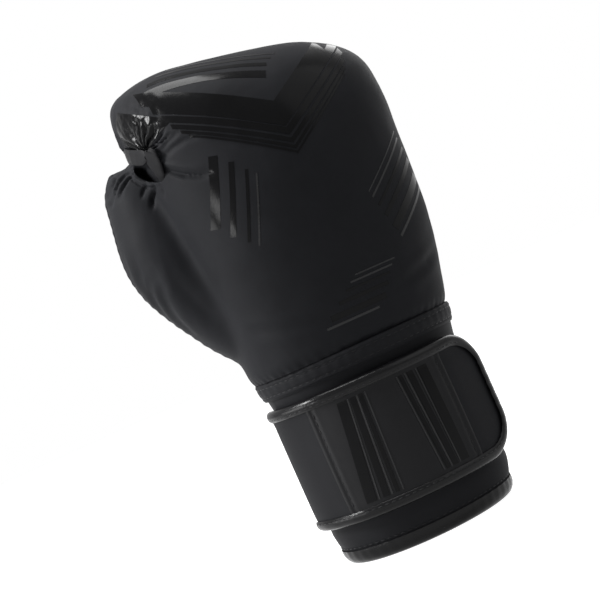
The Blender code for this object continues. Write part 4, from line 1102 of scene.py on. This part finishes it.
def lockPiece():
    def place(u, v):
        # the far end is rounded
        reach = np.sqrt(np.clip(1.0 - (np.clip(0.14 - u, 0.0, 0.14) / 0.14) ** 2, 0.05, 1.0))
        centre, face, side = lockFrame(u)
        across = (v - 0.5) * lock["width"] * reach
        crown = 0.35 * crowned(v)
        spots = centre + side * across[:, None] + face * (lock["off"] + crown)[:, None]
        return spots * mm + cuffAxis, u * 40.0, across
    return thicken(gridPiece("thumbLock", 56, 14, place), lock["thickness"])

def lockLine(share):
    line = []
    for u in np.linspace(0.08, 0.97, 24):
        centre, face, side = lockFrame(u)
        spot = centre + side * (share - 0.5) * lock["width"] + face * (lock["off"] + 0.3)
        line.append((Vector(spot * mm + cuffAxis), Vector(face)))
    return line

def loopSpot(u, side):
    # a point of the loop over the lock, side from -1 at its left edge to 1 at its right
    path = np.array(lock["loopPath"])
    at = u * (len(path) - 1)
    ahead = pathAt(np.gradient(path, axis=0), at)
    ahead /= np.linalg.norm(ahead)
    step = np.arange(len(path))
    half = np.interp(at, step, lock["loopHalf"]) * math.sqrt(max(0.04, 1.0 - (max(0.0, u - 0.72) / 0.28) ** 2))
    x, y = pathAt(path, at) + np.array([-ahead[1], ahead[0]]) * half * side
    off = np.interp(at, step, lock["loopOff"]) + 0.7 * (1.0 - abs(side) ** 3)
    return pictureHit(plainSkin, x, y, off, cameraBack)

def loopPiece():
    def place(u, v):
        spots = [tuple(loopSpot(along, 2.0 * across - 1.0)[0]) for along, across in zip(u, v)]
        return np.array(spots), u * 20.0, v * 8.0
    return thicken(gridPiece("lockLoop", 36, 14, place), lock["loopThickness"])

# the loop over the lock's end, in the darker leather with painted shade
settle(modified(loopPiece(), evenOut(3)), lockLeatherWithPaintedShade)
rim = [(loopSpot(u, 0.72)[0], Vector(cameraBack)) for u in np.linspace(0.25, 0.9, 20)]
stitches("lockStitches", [lockLine(0.16), lockLine(0.84), rim], 1.9, 0.24, gap=0.9)
# the lock's tab, in the darker leather with painted shade
settle(lockPiece(), lockLeatherWithPaintedShade, nodes=["thumb_lock"])
print("grip roll and thumb lock")

# ---- gloss stripes

stripes = {
    "lift": 0.12, "thickness": 0.12, "far": 450.0, "cell": 0.9,
    # nested chevrons over the knuckles: height of the arms' ends, half spread, drop to the point, width
    "chevrons": ((287.5, 61.0, 38.0, 8.0), (278.5, 58.0, 36.5, 5.0), (271.0, 56.0, 35.0, 3.6),
        (264.5, 53.0, 34.0, 2.4), (259.5, 50.0, 33.0, 1.6), (255.5, 47.0, 32.0, 1.1)),
    "chevronMiddle": -4.0, "rightReach": 0.75,    # the top one ends short of the knuckles on its right
    # slanting bars: ends in (across, height), width
    "bars": ((34.0, 166.0, 66.0, 190.0, 4.8), (31.0, 174.0, 65.0, 200.0, 2.8), (29.0, 180.5, 63.5, 207.0, 1.7),
             (-20.0, 134.0, 14.0, 134.0, 3.4), (-13.0, 140.0, 18.0, 140.0, 2.2), (-7.0, 144.8, 21.0, 144.8, 1.3),
             (-45.0, 240.0, -57.0, 204.0, 4.6), (-38.0, 233.0, -51.0, 196.0, 2.8), (-32.5, 226.0, -45.0, 190.0, 1.6)),
    "paleBars": ((36.0, 160.5, 67.0, 183.5, 1.5), (27.0, 186.0, 62.0, 213.0, 1.1), (26.0, 189.5, 61.5, 217.0, 0.7),
                 (-24.0, 129.6, 8.0, 129.6, 1.3), (-3.0, 148.2, 24.0, 148.2, 1.0), (1.0, 151.0, 27.0, 151.0, 0.7),
                 (-28.5, 222.0, -41.0, 186.0, 0.9)),
    # bars over the knuckles, as seen from 45 degrees above
    "topBars": ((-63.0, 178.5, 0.0, 148.0, 5.2), (-57.0, 183.5, 4.0, 155.0, 3.2), (-50.0, 187.0, 9.0, 160.0, 2.0),
        (-43.0, 189.5, 13.0, 163.5, 1.2)),
    # the gloss print under the nose: pixels down its left and its right side
    "noseLeft": ((117.5, 113.0), (116.0, 122.0), (117.5, 132.0), (122.5, 141.0), (130.0, 148.5), (137.0, 151.5)),
    "noseRight": ((172.0, 119.0), (167.0, 125.0), (160.0, 132.0), (155.0, 139.0), (151.0, 145.0), (148.0, 150.0)),
    # bars on the patch: foot and head round the cuff, width
    "patchBars": ((-36.5, -30.0, 5.5), (-28.5, -24.0, 3.4), (-22.5, -20.0, 2.0), (6.0, 2.0, 2.0), (10.5, 7.5, 3.4),
        (16.5, 15.0, 5.5)),
    # pale bars between them on the patch, painted glare streaks: foot and head round the cuff, width
    "paintedGlarePatchBars": ((-32.4, -26.9, 0.7), (-25.5, -22.0, 0.9), (-19.5, -17.6, 0.7), (3.6, 0.0, 0.7), (8.2, 4.7, 0.9),
        (13.5, 11.2, 0.7)),
}

def mittStripe(name, path, width, upright=False, tilt=0.0):
    # a strip of print laid on the back of the mitt along a path of (x, z), seen from the back of the hand,
    # or from that far above it
    path = np.array(path, float)
    heading = headings(path)
    level, drop = math.cos(math.radians(tilt)), math.sin(math.radians(tilt))
    def place(u, v):
        at = u * (len(path) - 1)
        centre, ahead = pathAt(path, at), pathAt(heading, at)
        spots = []
        for (x, z), (dx, dz), share in zip(centre, ahead, v):
            offset = (share - 0.5) * width
            if upright:    # the ends are cut level with the glove's axis, so that two arms meet in a point
                offset, dx, dz = offset / abs(dx), 1.0, 0.0
            height = z + dx * offset
            start = (x - dz * offset, height * drop - stripes["far"] * level, height * level + stripes["far"] * drop)
            spot, normal = onMitt(start, (0.0, level, -drop), stripes["lift"])
            spots.append(tuple(spot) if spot else (0.0, 0.0, 0.0))
        return np.array(spots), centre[:, 0], centre[:, 1]
    columns = max(12, int(np.linalg.norm(path[-1] - path[0]) / stripes["cell"]))
    return thicken(gridPiece(name, columns, max(2, int(width / stripes["cell"])), place), stripes["thickness"])

def barStripes(key, steps, **seen):
    return [mittStripe(key, np.linspace(ends[:2], ends[2:4], steps), ends[4], **seen) for ends in stripes[key]]

palmLines = []
for line in seams["stitches"]:
    hits = [onMitt((x, 140.0, z), (0.0, -1.0, 0.0), 0.15) for x, z in np.linspace(line[0], line[1], 70)]
    palmLines.append([hit for hit in hits if hit[0] is not None])
stitches("palmStitches", palmLines, 2.8, 0.30)

prints = []
for number, (z, spread, drop, width) in enumerate(stripes["chevrons"]):
    for side in (-1.0, 1.0):
        reach = stripes["rightReach"] if side > 0.0 and number == 0 else 1.0
        path = [(stripes["chevronMiddle"] + side * spread * t, z - drop * (1.0 - t)) for t in np.linspace(0.0, reach,
            30)]
        prints.append(mittStripe("chevron", path, width, True))
prints += barStripes("bars", 16)
settle(joined("paleStripes", barStripes("paleBars", 16)), paleLinesAndPaintedGlare)

def nosePrint():
    def place(u, v):
        at = v * (len(stripes["noseLeft"]) - 1)
        left, right = pathAt(stripes["noseLeft"], at), pathAt(stripes["noseRight"], at)
        spots = [tuple(pictureHit(mittSkin, x, y, stripes["lift"])[0]) for x, y in left + u[:, None] * (right - left)]
        return np.array(spots), u * 30.0, v * 24.0
    return thicken(gridPiece("nosePrint", 90, 60, place), stripes["thickness"])

prints += [nosePrint()] + barStripes("topBars", 30, tilt=45.0)
settle(joined("mittStripes", prints), glossPrint)

def patchBar(foot, head, width):
    # a bar of print across the patch, from the strap's lower edge to its upper one
    def place(u, v):
        z = strap["low"] + 7.5 + u * (strap["high"] - strap["low"] - 15.0)
        run = foot + (head - foot) * u + (v - 0.5) * width
        share = (z - strap["low"]) / (strap["high"] - strap["low"])
        return cuffPoints(run, z, strap["patch"] + flapLift(run) + patchRelief(run, z, share) + 0.14), run, z
    return thicken(gridPiece("bar", 60, max(2, int(width * 1.5)), place), 0.14)

# the pale patch bars are painted glare streaks on the gloss print
for name, material in (("patchBars", glossPrint), ("paintedGlarePatchBars", paleLinesAndPaintedGlare)):
    settle(joined(name, [patchBar(*bar) for bar in stripes[name]]), material, "strap_flap")
print("gloss stripes")

# ---- stage

def makeFloor():
    bm = bmesh.new()
    bmesh.ops.create_grid(bm, x_segments=1, y_segments=1, size=6.0)
    material, tree, shader = newMaterial("paleFloor", (0.38, 0.38, 0.38), 0.9, 0.1)
    shader.inputs["Emission Color"].default_value = (1.0, 1.0, 1.0, 1.0)
    tree.links.new(mathNode(tree, "MULTIPLY", seenDirectly(tree), 0.97), shader.inputs["Emission Strength"])
    meshObject("floor", bm, material, False)

makeFloor()
